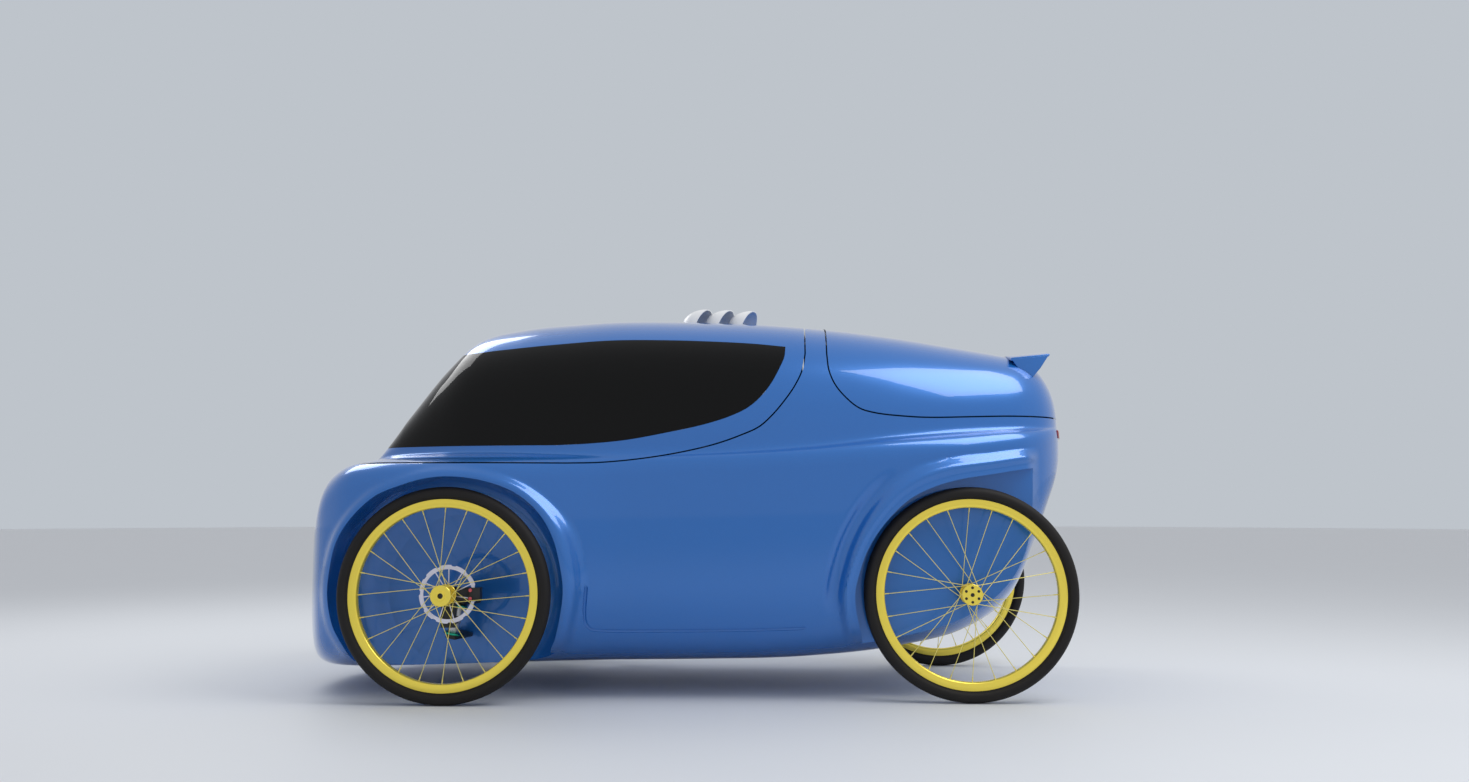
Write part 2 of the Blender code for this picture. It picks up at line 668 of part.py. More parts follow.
def add_front_suspension(materials):
    """Knuckles with stub axles and calipers, and the arms and rings that carry them."""
    disc_y = TRACK_FRONT / 2 - HUB_INNER - GAP - ROTOR_T / 2
    plate_in = KINGPIN_Y + RING_R + UPRIGHT_CLEAR
    plate_out = plate_in + UPRIGHT_T
    axle_end = TRACK_FRONT / 2 + HUB_OUTER - HUB_CAP_DEPTH - GAP
    for name, out in (("left", 1), ("right", -1)):
        lower = kingpin_point(-KINGPIN_HALF)
        upper = kingpin_point(KINGPIN_HALF)
        knuckle = add_object("knuckle_" + name, rod_bmesh((lower[0], lower[1] * out, lower[2]),
                                                         (upper[0], upper[1] * out, upper[2]),
                                                         KINGPIN_R, BAR_FACETS), materials["silver"])
        web = add_object("cut_web_" + name, sided_box(
            (FRONT_AXLE_X - KINGPIN_BACK - UPRIGHT_HALF / 2, KINGPIN_Y + KINGPIN_R / 3,
             KINGPIN_Z - UPRIGHT_HALF / 2),
            (FRONT_AXLE_X, plate_in + UPRIGHT_T / 2, KINGPIN_Z + UPRIGHT_HALF / 2), out))
        plate = add_object("cut_plate_" + name, sided_box(
            (FRONT_AXLE_X - UPRIGHT_HALF, plate_in, KINGPIN_Z - UPRIGHT_HALF),
            (FRONT_AXLE_X + UPRIGHT_HALF, plate_out, AXLE_Z + UPRIGHT_HALF), out))
        ear = add_object("cut_ear_" + name, sided_box(
            (FRONT_AXLE_X - CALIPER_FAR, plate_in + UPRIGHT_LAP, AXLE_Z - CALIPER_HALF_HEIGHT),
            (FRONT_AXLE_X - UPRIGHT_HALF / 2, disc_y - CALIPER_SLOT / 2 - CALIPER_CHEEK - GAP,
             AXLE_Z + CALIPER_HALF_HEIGHT), out))
        axle = add_object("cut_stub_" + name, rod_bmesh(
            (FRONT_AXLE_X, (plate_in + 2 * UPRIGHT_LAP) * out, AXLE_Z),
            (FRONT_AXLE_X, axle_end * out, AXLE_Z), AXLE_R, BAR_FACETS))
        for shape in (web, plate, ear, axle):
            boolean(knuckle, 'UNION', shape)
        caliper = add_object("brake_caliper_" + name, sided_box(
            (FRONT_AXLE_X - CALIPER_FAR, disc_y - CALIPER_SLOT / 2 - CALIPER_CHEEK,
             AXLE_Z - CALIPER_HALF_HEIGHT),
            (FRONT_AXLE_X - CALIPER_NEAR, disc_y + CALIPER_SLOT / 2 + CALIPER_CHEEK,
             AXLE_Z + CALIPER_HALF_HEIGHT), out), materials["black"])
        slot = add_object("cut_slot_" + name, sided_box(
            (FRONT_AXLE_X - ROTOR_R - CALIPER_SLOT / 2, disc_y - CALIPER_SLOT / 2, 0.0),
            (FRONT_AXLE_X, disc_y + CALIPER_SLOT / 2, 2 * AXLE_Z), out))
        boolean(caliper, 'DIFFERENCE', slot)
        for level, sign in (("lower", -1), ("upper", 1)):
            near = kingpin_point(sign * (KINGPIN_HALF + GAP))
            far = kingpin_point(sign * (KINGPIN_HALF + GAP + RING_T))
            add_object(f"headset_ring_{level}_{name}", rod_bmesh(
                (near[0], near[1] * out, near[2]), (far[0], far[1] * out, far[2]), RING_R, BAR_FACETS),
                materials["teal"])
            face = kingpin_point(sign * (KINGPIN_HALF + RING_T + 2 * GAP))
            heights = sorted((0.0, sign * ARM_T))
            arm = sided_box((-ARM_WIDTH / 2, WELL_INNER_Y + GAP, heights[0]),
                            (ARM_WIDTH / 2, KINGPIN_Y + ARM_TIP_REACH, heights[1]), out)
            for corner in arm.verts:
                if abs(corner.co.y) > KINGPIN_Y:
                    corner.co.x = math.copysign(ARM_TIP_HALF, corner.co.x)
            moved(arm, Matrix.Rotation(-KINGPIN_CASTER, 4, 'Y'))
            moved(arm, Matrix.Translation((face[0], 0.0, face[2])))
            add_object(f"{level}_arm_{name}", arm, materials["black"])


def add_rear_axles(materials):
    """Stub axles that carry the rear wheels from the sides of the tail."""
    for name, out in (("left", 1), ("right", -1)):
        inner = TAIL_HALF_WIDTH + GAP
        boss_end = TRACK_REAR / 2 - HUB_INNER - RUNNING_GAP
        end = TRACK_REAR / 2 + HUB_OUTER - HUB_CAP_DEPTH - GAP
        profile = [(inner * out, 0.0), (inner * out, REAR_BOSS_R), (boss_end * out, REAR_BOSS_TIP_R),
                   (boss_end * out, AXLE_R), (end * out, AXLE_R), (end * out, 0.0)]
        axle = add_object("rear_axle_" + name, lathe_bmesh(profile, BAR_FACETS, False),
                          materials["black"])
        axle.matrix_world = Matrix.Translation((REAR_AXLE_X, 0.0, AXLE_Z))


def row_at(x):
    """The section row at a distance from the rear axle."""
    rows = smooth_rows()
    for before, after in zip(rows, rows[1:]):
        if before[0] <= x <= after[0]:
            share = (x - before[0]) / (after[0] - before[0])
            return tuple(a + (b - a) * share for a, b in zip(before, after))
    raise ValueError(x)


def roof_height(x):
    return row_at(x)[4]


def side_width(x, z):
    """Half the shell's width at a height below the shoulder."""
    x, floor, widest, shoulder, roof, hull, cabin, crown_power = row_at(x)
    if z < widest:
        down = min((widest - z) / (widest - floor), 1.0)
        return hull * (1.0 - down ** LOWER_POWER) ** (1 / LOWER_POWER)
    up = min((z - widest) / (shoulder - widest), 1.0)
    return cabin + (hull - cabin) * (1.0 - up ** crown_power) ** (1 / crown_power)


def canopy_front_x():
    """Where the roof line comes down to the canopy's seam at the nose."""
    rows = smooth_rows()
    for before, after in zip(rows, rows[1:]):
        if before[4] >= CANOPY_SEAM_Z > after[4] and before[0] > WHEELBASE / 2:
            share = (before[4] - CANOPY_SEAM_Z) / (before[4] - after[4])
            return before[0] + (after[0] - before[0]) * share
    raise ValueError(CANOPY_SEAM_Z)


def add_hinges(materials):
    """Hinge barrels on the two panels' axes, and the cutters that make room for them."""
    front_x = canopy_front_x()
    lid_x = LID_OUTLINE[0][0] + SEAM / 2
    places = (
        ("canopy_hinge", front_x, CANOPY_SEAM_Z - HINGE_SINK, CANOPY_HINGE_HALF),
        ("tail_lid_hinge", lid_x, roof_height(lid_x) - HINGE_SINK, LID_HINGE_HALF),
    )
    cuts = []
    for name, x, z, half in places:
        start = (REAR_AXLE_X + x, -half, z)
        end = (REAR_AXLE_X + x, half, z)
        add_object(name, rod_bmesh(start, end, HINGE_R, BAR_FACETS), materials["black"])
        start = (REAR_AXLE_X + x, -half - GAP, z)
        end = (REAR_AXLE_X + x, half + GAP, z)
        cuts.append(add_object("cut_" + name, rod_bmesh(start, end, HINGE_R + GAP, BAR_FACETS)))
    return cuts


def arch_outline(axle_x, table):
    """The side outline of a wheel arch, measured from the rear axle."""
    points = []
    for degrees, clearance, width, height in table:
        angle = math.radians(degrees)
        reach = TYRE_R + clearance
        points.append((axle_x + reach * math.cos(angle), AXLE_Z + reach * math.sin(angle)))
    return points


def flare_bmesh(axle_x, table, out):
    """The raised lip round a wheel arch, rooted in the shell's side."""
    outline = [Vector(point) for point in arch_outline(axle_x, table)]
    centre = Vector((axle_x, AXLE_Z))
    bm = bmesh.new()
    rings = []
    for index, (degrees, clearance, width, height) in enumerate(table):
        if width == 0.0:
            continue
        along = (outline[index + 1] - outline[index - 1]).normalized()
        away = Vector((along.y, -along.x))
        if away.dot(outline[index] - centre) < 0:
            away = -away
        edge = outline[index] + along * FLARE_SHIFT
        ring = []
        for across, up in FLARE_PROFILE:
            x, z = edge + away * width * across
            ring.append((x, side_width(x, z) + height * up, z))
        for across, sink in ((1.0, FLARE_SINK), (1.0, FLARE_ROOT), (FLARE_PROFILE[0][0], FLARE_ROOT)):
            x, z = edge + away * width * across
            ring.append((x, side_width(x, z) - sink, z))
        rings.append([bm.verts.new((REAR_AXLE_X + x, y * out, z)) for x, y, z in ring])
    for ring, following in zip(rings, rings[1:]):
        for index in range(len(ring)):
            after = (index + 1) % len(ring)
            bm.faces.new((ring[index], ring[after], following[after], following[index]))
    bm.faces.new(rings[0])
    bm.faces.new(rings[-1])
    bmesh.ops.recalc_face_normals(bm, faces=bm.faces)
    bmesh.ops.triangulate(bm, faces=bm.faces)
    return bm


def bowl_bmesh(extra, out):
    """The rounded inner end of a front wheel well, drawn out by an extra thickness."""
    profile = [(WELL_INNER_Y - extra, 0.0)]
    for depth, beyond in WELL_BOWL:
        profile.append((WELL_INNER_Y - extra + depth, TYRE_R + beyond + extra))
    profile.append((profile[-1][0], 0.0))
    bowl = lathe_bmesh([(along * out, radius) for along, radius in profile], BOWL_FACETS, False)
    return moved(bowl, Matrix.Translation((FRONT_AXLE_X, 0.0, AXLE_Z)))


def add_shell(materials, hinge_cuts):
    """The body shell, canopy, glass and tail lid, all cut from the same outer form."""
    side = SIDE_CLEAR_Y
    canopy = list(CANOPY_OUTLINE)
    lid = list(LID_OUTLINE)
    glass = list(GLASS_OUTLINE)
    front_arch = arch_outline(WHEELBASE, FRONT_ARCH)
    rear_arch = arch_outline(0.0, REAR_ARCH)
    bowl_end = WELL_INNER_Y + WELL_BOWL_DEPTH

    void = add_object("cut_void", hull_bmesh(WALL))
    cabin_void = add_object("cut_cabin_void", hull_bmesh(WALL))
    canopy_region = add_object("cut_canopy", prism_bmesh(canopy, -side, side))
    canopy_opening = add_object("cut_canopy_opening", prism_bmesh(grow(canopy, SEAM), -side, side))
    glass_region = add_object("cut_glass", prism_bmesh(glass, -side, side))
    glass_opening = add_object("cut_glass_opening", prism_bmesh(grow(glass, GLASS_GAP), -side, side))
    lid_region = add_object("cut_lid", prism_bmesh(lid, -side, side))
    lid_opening = add_object("cut_lid_opening", prism_bmesh(grow(lid, SEAM), -side, side))

    body = add_object("body_shell", hull_bmesh(), materials["blue"])
    well_walls = []
    well_cuts = []
    for name, out in (("left", 1), ("right", -1)):
        flare = add_object("cut_front_flare_" + name, flare_bmesh(WHEELBASE, FRONT_ARCH, out))
        boolean(body, 'UNION', flare)
        flare = add_object("cut_rear_flare_" + name, flare_bmesh(0.0, REAR_ARCH, out))
        boolean(body, 'UNION', flare)
        for part, extra, store in (("wall", WALL, well_walls), ("space", 0.0, well_cuts)):
            store.append(add_object(f"cut_bowl_{part}_{name}", bowl_bmesh(extra, out)))
            low, high = sorted(((bowl_end - extra) * out, side * out))
            prism = prism_bmesh(grow(front_arch, extra), low, high)
            store.append(add_object(f"cut_front_{part}_{name}", prism))
            low, high = sorted(((TAIL_HALF_WIDTH - extra) * out, side * out))
            prism = prism_bmesh(grow(rear_arch, extra), low, high)
            store.append(add_object(f"cut_rear_{part}_{name}", prism))
    for wall in well_walls:
        boolean(void, 'DIFFERENCE', wall)
    boolean(body, 'DIFFERENCE', void)
    for cut in well_cuts:
        boolean(body, 'DIFFERENCE', cut)
    boolean(body, 'DIFFERENCE', canopy_opening)
    boolean(body, 'DIFFERENCE', lid_opening)
    for cut in hinge_cuts:
        boolean(body, 'DIFFERENCE', cut)

    for name, region, material in (("canopy_shell", canopy_region, "blue"),
                                   ("canopy_glass", glass_region, "glass"),
                                   ("tail_lid", lid_region, "blue")):
        panel = add_object(name, hull_bmesh(), materials[material])
        boolean(panel, 'INTERSECT', region)
        boolean(panel, 'DIFFERENCE', cabin_void)
        if name == "canopy_shell":
            boolean(panel, 'DIFFERENCE', glass_opening)
            boolean(panel, 'DIFFERENCE', hinge_cuts[0])
        if name == "tail_lid":
            boolean(panel, 'DIFFERENCE', hinge_cuts[1])


def ribbon(points, thickness):
    """A closed outline of even thickness along a line of points."""
    left = []
    right = []
    for index, point in enumerate(points):
        before = Vector(points[max(index - 1, 0)])
        after = Vector(points[min(index + 1, len(points) - 1)])
        along = (after - before).normalized()
        across = Vector((-along.y, along.x)) * thickness / 2
        left.append(tuple(Vector(point) + across))
        right.append(tuple(Vector(point) - across))
    return left + right[::-1]


def add_cabin(materials):
    """The seat and its rails, the beam, mast, pedals and levers, and the bulkhead."""
    inside = add_object("cut_inside", hull_bmesh(WALL + GAP))
    seat_outline = ribbon(SEAT_LINE, SEAT_T)
    add_object("seat", prism_bmesh(seat_outline, -SEAT_HALF_WIDTH, SEAT_HALF_WIDTH), materials["black"])
    seat_clear = add_object("cut_seat", prism_bmesh(ribbon(SEAT_LINE, SEAT_T + 2 * GAP),
                                                    -SEAT_HALF_WIDTH, SEAT_HALF_WIDTH))
    rail_outline = [(RAIL_REAR, 0.0), (RAIL_FRONT, 0.0), (RAIL_FRONT, SEAT_LINE[1][1]),
                    (SEAT_LINE[2][0], SEAT_LINE[2][1]), (RAIL_REAR, SEAT_LINE[3][1])]
    for name, y in (("left", RAIL_Y), ("right", -RAIL_Y)):
        rail = add_object("seat_rail_" + name, prism_bmesh(rail_outline, y - RAIL_T / 2, y + RAIL_T / 2),
                          materials["silver"])
        boolean(rail, 'INTERSECT', inside)
        boolean(rail, 'DIFFERENCE', seat_clear)

    beam = add_object("main_beam", box_bmesh((REAR_AXLE_X + BEAM_REAR, -BEAM_HALF_WIDTH, 0.0),
                                             (REAR_AXLE_X + BEAM_FRONT, BEAM_HALF_WIDTH, BEAM_TOP)),
                      materials["silver"])
    boolean(beam, 'INTERSECT', inside)
    crank_x = REAR_AXLE_X + CRANK_X
    mast = add_object("pedal_mast", box_bmesh((crank_x - MAST_HALF, -MAST_HALF, BEAM_TOP + GAP),
                                              (crank_x + MAST_HALF, MAST_HALF, CRANK_Z)),
                      materials["black"])
    head = add_object("cut_mast_head", rod_bmesh((crank_x, -MAST_HEAD_HALF, CRANK_Z),
                                                 (crank_x, MAST_HEAD_HALF, CRANK_Z), MAST_HEAD_R,
                                                 BAR_FACETS))
    bore = add_object("cut_mast_bore", rod_bmesh((crank_x, -2 * MAST_HEAD_HALF, CRANK_Z),
                                                 (crank_x, 2 * MAST_HEAD_HALF, CRANK_Z),
                                                 CRANK_AXLE_R + GAP, BAR_FACETS))
    boolean(mast, 'UNION', head)
    boolean(mast, 'DIFFERENCE', bore)

    arm_in = MAST_HEAD_HALF + RUNNING_GAP
    arm_out = arm_in + CRANK_ARM_T
    crank = add_object("crankset", rod_bmesh((crank_x, -arm_out, CRANK_Z), (crank_x, arm_out, CRANK_Z),
                                             CRANK_AXLE_R, BAR_FACETS), materials["black"])
    for name, out in (("left", 1), ("right", -1)):
        low_x, high_x = sorted((crank_x - CRANK_ARM_HALF * out, crank_x + CRANK_LENGTH * out))
        arm = add_object("cut_crank_arm_" + name, sided_box(
            (low_x, arm_in, CRANK_Z - CRANK_ARM_HALF), (high_x, arm_out, CRANK_Z + CRANK_ARM_HALF), out))
        boolean(crank, 'UNION', arm)
        pedal_x = crank_x + (CRANK_LENGTH - CRANK_ARM_HALF) * out
        add_object("pedal_" + name, sided_box(
            (pedal_x - PEDAL_LENGTH / 2, arm_out + GAP, CRANK_Z - PEDAL_T / 2),
            (pedal_x + PEDAL_LENGTH / 2, arm_out + GAP + PEDAL_WIDTH, CRANK_Z + PEDAL_T / 2), out),
            materials["black"])

        foot = Vector((REAR_AXLE_X + LEVER_X, LEVER_Y * out, 0.0))
        top = Vector((REAR_AXLE_X + LEVER_TOP_X, LEVER_Y * out, LEVER_TOP_Z))
        lever = add_object("steering_lever_" + name, rod_bmesh(foot, top, LEVER_R, LEVER_FACETS),
                           materials["silver"])
        boolean(lever, 'INTERSECT', inside)
        along = (top - foot).normalized()
        add_object("lever_grip_" + name, rod_bmesh(top + along * GAP, top + along * GRIP_LENGTH,
                                                   GRIP_R, LEVER_FACETS), materials["black"])

    bulkhead = add_object("bulkhead", box_bmesh((REAR_AXLE_X + BULKHEAD_X, -SIDE_CLEAR_Y, 0.0),
                                                (REAR_AXLE_X + BULKHEAD_X + BULKHEAD_T, SIDE_CLEAR_Y,
                                                 ROOF_CLEAR_Z)), materials["black"])
    boolean(bulkhead, 'INTERSECT', inside)


def ellipsoid_bmesh(radii, centre):
    bm = bmesh.new()
    place = Matrix.Translation(centre) @ Matrix.Diagonal((*radii, 1.0))
    around, rows = SCOOP_FACETS
    bmesh.ops.create_uvsphere(bm, u_segments=around, v_segments=rows, radius=1.0, matrix=place)
    return bm


def arched_bmesh(points, half_width, drop, steps):
    """A side outline carried across the vehicle, dropping towards both ends."""
    bm = bmesh.new()
    rings = []
    for step in range(steps + 1):
        share = 2 * step / steps - 1
        ring = []
        for x, z in points:
            ring.append(bm.verts.new((REAR_AXLE_X + x, half_width * share, z - drop * share ** 2)))
        rings.append(ring)
    for ring, following in zip(rings, rings[1:]):
        for index in range(len(ring)):
            after = (index + 1) % len(ring)
            bm.faces.new((ring[index], ring[after], following[after], following[index]))
    bm.faces.new(rings[0])
    bm.faces.new(rings[-1])
    bmesh.ops.recalc_face_normals(bm, faces=bm.faces)
    return bm


def add_outside_fittings(materials):
    """The roof scoops, the spoiler on the tail lid and the lamps."""
    outside = add_object("cut_outside", hull_bmesh(-GAP))
    proud = add_object("cut_proud", hull_bmesh(-LAMP_PROUD))
    for index, mouth in enumerate(SCOOP_MOUTHS, start=1):
        base = (REAR_AXLE_X + mouth, 0.0, roof_height(mouth))
        radii = (SCOOP_LENGTH, SCOOP_HALF_WIDTH, SCOOP_HEIGHT)
        inner = [r - SCOOP_T for r in radii]
        scoop = add_object(f"roof_scoop_{index}", ellipsoid_bmesh(radii, base), materials["white"])
        hollow = add_object(f"cut_scoop_{index}", ellipsoid_bmesh(inner, base))
        behind = box_bmesh((-2 * SCOOP_LENGTH, -SCOOP_LENGTH * 2, -SCOOP_LENGTH),
                           (0.0, SCOOP_LENGTH * 2, SCOOP_LENGTH))
        moved(behind, Matrix.Translation(base) @ Matrix.Rotation(-SCOOP_TURN, 4, 'Z'))
        mouth_cut = add_object(f"cut_scoop_mouth_{index}", behind)
        boolean(scoop, 'DIFFERENCE', hollow)
        boolean(scoop, 'DIFFERENCE', mouth_cut)
        boolean(scoop, 'DIFFERENCE', outside)

    width = SPOILER_HALF_WIDTH
    spoiler = add_object("spoiler", arched_bmesh(SPOILER_TOP, width, SPOILER_DROP, SPOILER_STEPS),
                         materials["blue"])
    plate_outline = [(x, z - SPOILER_DROP) for x, z in SPOILER_PLATE]
    for name, out in (("left", 1), ("right", -1)):
        low, high = sorted(((width - SPOILER_PLATE_T) * out, (width + GAP) * out))
        plate = add_object("cut_spoiler_plate_" + name, prism_bmesh(plate_outline, low, high))
        boolean(spoiler, 'UNION', plate)
    boolean(spoiler, 'DIFFERENCE', outside)

    front = REAR_AXLE_X + NOSE_CLEAR_X
    rear = REAR_AXLE_X + TAIL_CLEAR_X
    middle = REAR_AXLE_X + WHEELBASE / 2
    lamps = (
        ("nose_lamp", middle, front, NOSE_LAMP_HALF_WIDTH, NOSE_LAMP_Z, NOSE_LAMP_HALF_HEIGHT, "glass"),
        ("tail_lamp", rear, REAR_AXLE_X, TAIL_LAMP_HALF_WIDTH, TAIL_LAMP_Z, TAIL_LAMP_HALF_HEIGHT, "red"),
    )
    for name, low_x, high_x, half_width, z, half_height, material in lamps:
        lamp = add_object(name, box_bmesh((low_x, -half_width, z - half_height),
                                          (high_x, half_width, z + half_height)), materials[material])
        boolean(lamp, 'INTERSECT', proud)
        boolean(lamp, 'DIFFERENCE', outside)


def main():
    clear_scene()
    materials = {
        "blue": make_material("metallic_blue_paint", (0.012, 0.105, 0.370), 0.25, 0.5),
        "glass": make_material("dark_glass", (0.010, 0.012, 0.015), 0.05, 0.0),
        "gold": make_material("gold_anodised_aluminium", (0.80, 0.56, 0.12), 0.25, 1.0),
        "rubber": make_material("black_rubber", (0.020, 0.018, 0.017), 0.7, 0.0),
        "silver": make_material("silver_steel", (0.70, 0.70, 0.72), 0.3, 1.0),
        "teal": make_material("green_anodised_aluminium", (0.05, 0.35, 0.28), 0.3, 1.0),
        "black": make_material("black_coated_metal", (0.015, 0.015, 0.017), 0.5, 0.2),
        "steel": make_material("ground_disc_steel", (0.66, 0.64, 0.70), 0.35, 1.0),
        "white": make_material("white_plastic", (0.80, 0.80, 0.80), 0.4, 0.0),
        "red": make_material("red_lens", (0.45, 0.010, 0.010), 0.15, 0.0),
    }
    add_wheels(materials)
    add_front_suspension(materials)
    add_rear_axles(materials)
    hinge_cuts = add_hinges(materials)
    add_shell(materials, hinge_cuts)
    add_cabin(materials)
    add_outside_fittings(materials)


main()
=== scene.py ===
"""The looks of a four-wheeled velomobile with an enclosed cabin.

X points forward, Y to the left and Z up, in metres, in the same frame as the solids.
"""

import json
import math

import bmesh
import bpy
import numpy as np
from mathutils import Matrix, Vector

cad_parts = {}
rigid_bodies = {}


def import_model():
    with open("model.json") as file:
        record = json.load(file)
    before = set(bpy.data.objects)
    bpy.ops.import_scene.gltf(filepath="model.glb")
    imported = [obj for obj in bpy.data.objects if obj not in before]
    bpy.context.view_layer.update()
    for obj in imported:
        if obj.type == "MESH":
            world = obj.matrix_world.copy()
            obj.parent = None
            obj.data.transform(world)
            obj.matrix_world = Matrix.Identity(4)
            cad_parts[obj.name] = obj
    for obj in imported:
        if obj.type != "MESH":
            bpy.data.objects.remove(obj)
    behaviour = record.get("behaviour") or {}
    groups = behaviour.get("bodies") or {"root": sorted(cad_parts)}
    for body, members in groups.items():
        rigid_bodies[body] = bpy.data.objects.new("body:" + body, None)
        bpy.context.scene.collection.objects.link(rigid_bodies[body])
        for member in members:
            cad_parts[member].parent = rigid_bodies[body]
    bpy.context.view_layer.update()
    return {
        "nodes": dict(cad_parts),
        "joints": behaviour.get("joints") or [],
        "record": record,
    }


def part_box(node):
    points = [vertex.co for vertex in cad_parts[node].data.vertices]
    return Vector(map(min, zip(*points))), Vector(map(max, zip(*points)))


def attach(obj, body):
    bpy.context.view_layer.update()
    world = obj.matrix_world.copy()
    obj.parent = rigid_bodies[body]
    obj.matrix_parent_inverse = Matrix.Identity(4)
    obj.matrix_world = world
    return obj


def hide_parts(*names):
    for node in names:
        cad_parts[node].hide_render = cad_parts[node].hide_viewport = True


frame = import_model()

# Sizes that the frame gives
FRONT_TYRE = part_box("tyre_front_left")
REAR_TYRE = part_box("tyre_rear_left")
FRONT_AXLE = (FRONT_TYRE[0] + FRONT_TYRE[1]) / 2
REAR_AXLE = (REAR_TYRE[0] + REAR_TYRE[1]) / 2
TYRE_R = FRONT_TYRE[1].z / 2
AXLE_Z = TYRE_R
WHEELBASE = FRONT_AXLE.x - REAR_AXLE.x
TRACK_FRONT = 2 * FRONT_AXLE.y
TRACK_REAR = 2 * REAR_AXLE.y

# Camera, solved from the four wheels
CAMERA_PLACE = (-0.31892, 3.84003, 0.53444)
CAMERA_TILT = math.radians(95.3391)
CAMERA_TURN = math.radians(182.6464)
CAMERA_LENS = 30.1694
CAMERA_SENSOR = 36.0

# Modelling
MERGE_DISTANCE = 0.00002
SMOOTH_DEGREES = 35
SHARP_EDGE = math.radians(40)
FLAT_FACETS = math.radians(1)
ROUND_STEPS = 64
TINY = 1e-6

# Shell
WALL = 0.006
SEAM = 0.004
GLASS_GAP = 0.0005
GAP = 0.0003
LOWER_POWER = 4.5
CABIN_POWER = 2.45
HOOD_POWER = 1.8
CABIN_RISE = 0.150

# Shell sections: x from the axle, floor height, widest height, shoulder height, roof height,
# hull half width and cabin half width as shares of half that axle's track, crown power
REAR_SECTIONS = (
    (-0.3165, 0.742, 0.745, 0.747, 0.750, 0.004, 0.002, 2.2),
    (-0.316, 0.700, 0.745, 0.765, 0.800, 0.075, 0.050, 2.2),
    (-0.305, 0.655, 0.735, 0.765, 0.860, 0.325, 0.275, 2.2),
    (-0.285, 0.600, 0.725, 0.765, 0.905, 0.500, 0.430, 2.2),
    (-0.250, 0.520, 0.715, 0.760, 0.952, 0.655, 0.565, 2.2),
    (-0.200, 0.400, 0.705, 0.755, 0.983, 0.787, 0.670, 2.2),
    (-0.130, 0.262, 0.695, 0.750, 0.996, 0.895, 0.762, 2.2),
    (0.000, 0.175, 0.680, 0.740, 1.018, 1.000, 0.862, 2.2),
    (0.190, 0.128, 0.660, 0.725, 1.050, 1.070, 0.950, 2.3),
    (0.450, 0.098, 0.640, 0.698, 1.082, 1.100, 1.005, 2.6),
)
FRONT_SECTIONS = (
    (-0.685, 0.088, 0.622, 0.680, 1.100, 0.875, 0.816, 3.0),
    (-0.435, 0.085, 0.608, 0.674, 1.104, 0.887, 0.816, 3.0),
    (-0.285, 0.083, 0.602, 0.674, 1.096, 0.939, 0.808, 3.0),
    (-0.135, 0.080, 0.600, 0.676, 1.082, 1.004, 0.782, 3.0),
    (0.000, 0.076, 0.598, 0.676, 1.050, 1.034, 0.737, 3.0),
    (0.085, 0.073, 0.596, 0.675, 0.975, 1.038, 0.683, 3.0),
    (0.185, 0.070, 0.592, 0.673, 0.845, 1.030, 0.594, 3.0),
    (0.255, 0.068, 0.586, 0.668, 0.745, 1.006, 0.505, 3.0),
    (0.285, 0.067, 0.578, 0.664, 0.700, 0.988, 0.451, 3.0),
    (0.325, 0.066, 0.555, 0.655, 0.668, 0.947, 0.366, 2.9),
    (0.375, 0.066, 0.500, 0.634, 0.640, 0.867, 0.277, 2.7),
    (0.415, 0.068, 0.430, 0.587, 0.592, 0.729, 0.208, 2.5),
    (0.450, 0.072, 0.360, 0.516, 0.520, 0.554, 0.149, 2.4),
    (0.475, 0.080, 0.300, 0.441, 0.444, 0.396, 0.099, 2.3),
    (0.493, 0.098, 0.250, 0.351, 0.353, 0.228, 0.055, 2.2),
    (0.500, 0.150, 0.200, 0.251, 0.252, 0.059, 0.016, 2.2),
    (0.5005, 0.195, 0.198, 0.201, 0.203, 0.004, 0.002, 2.2),
)
ROW_STEP = 0.0085
ROW_SPREAD = 1.25
FLOOR_SHARE = 0.25
DENSE_STEPS = 160
LOOKUP_STEP = 0.05
# The most an inset takes of the cabin's half width, the hull's height and the cabin's rise
INSET_SHARES = (0.6, 0.4, 0.9)
# Where the arches' relief fades: share of the half width, height above the shoulder
RELIEF_SIDE = (0.70, 0.92)
RELIEF_TOP = (-0.03, 0.0)

# Points round half a section: below the widest line, over the shoulder, over the cabin
BODY_POINTS = (96, 26, 46)
PANEL_POINTS = (10, 14, 110)
VOID_POINTS = (14, 6, 14)
VOID_STEP = 0.045
SHOULDER_REACH = 9
SHOULDER_PASSES = 14

# Side outlines, measured from the rear axle: x, z
CANOPY_SEAM_Z = 0.655
ROOF_CLEAR_Z = 1.200
NOSE_CLEAR_X = WHEELBASE + 0.615
TAIL_CLEAR_X = -0.450
SIDE_CLEAR_Y = 0.700
CANOPY_EDGE = (
    (0.452, 0.970), (0.461, 0.920), (0.482, 0.874), (0.511, 0.831), (0.547, 0.788), (0.582, 0.757),
    (0.632, 0.734), (0.703, 0.709), (0.810, 0.684), (0.916, 0.667), (1.024, 0.657),
    (1.110, CANOPY_SEAM_Z),
)
GLASS_TOP_EDGE = (
    (1.421, 0.984), (1.324, 0.992), (1.159, 1.006), (1.009, 1.016), (0.837, 1.015), (0.711, 1.010),
    (0.600, 1.003), (0.507, 0.993),
)
GLASS_LOW_EDGE = (
    (0.507, 0.993), (0.510, 0.961), (0.521, 0.932), (0.546, 0.882), (0.575, 0.843), (0.611, 0.811),
    (0.661, 0.786), (0.740, 0.761), (0.848, 0.738), (0.955, 0.719), (1.063, 0.709), (1.150, 0.705),
)
GLASS_FRONT_Z = 0.990
GLASS_FOOT_Z = 0.705
LID_EDGE = (
    (TAIL_CLEAR_X, 0.795), (-0.136, 0.792), (-0.016, 0.788), (0.095, 0.785), (0.160, 0.787),
    (0.255, 0.797), (0.300, 0.811), (0.340, 0.845), (0.366, 0.880), (0.381, 0.920), (0.386, 0.970),
)
EDGE_STEP = 0.007
SHARPEST_MITRE = 0.3

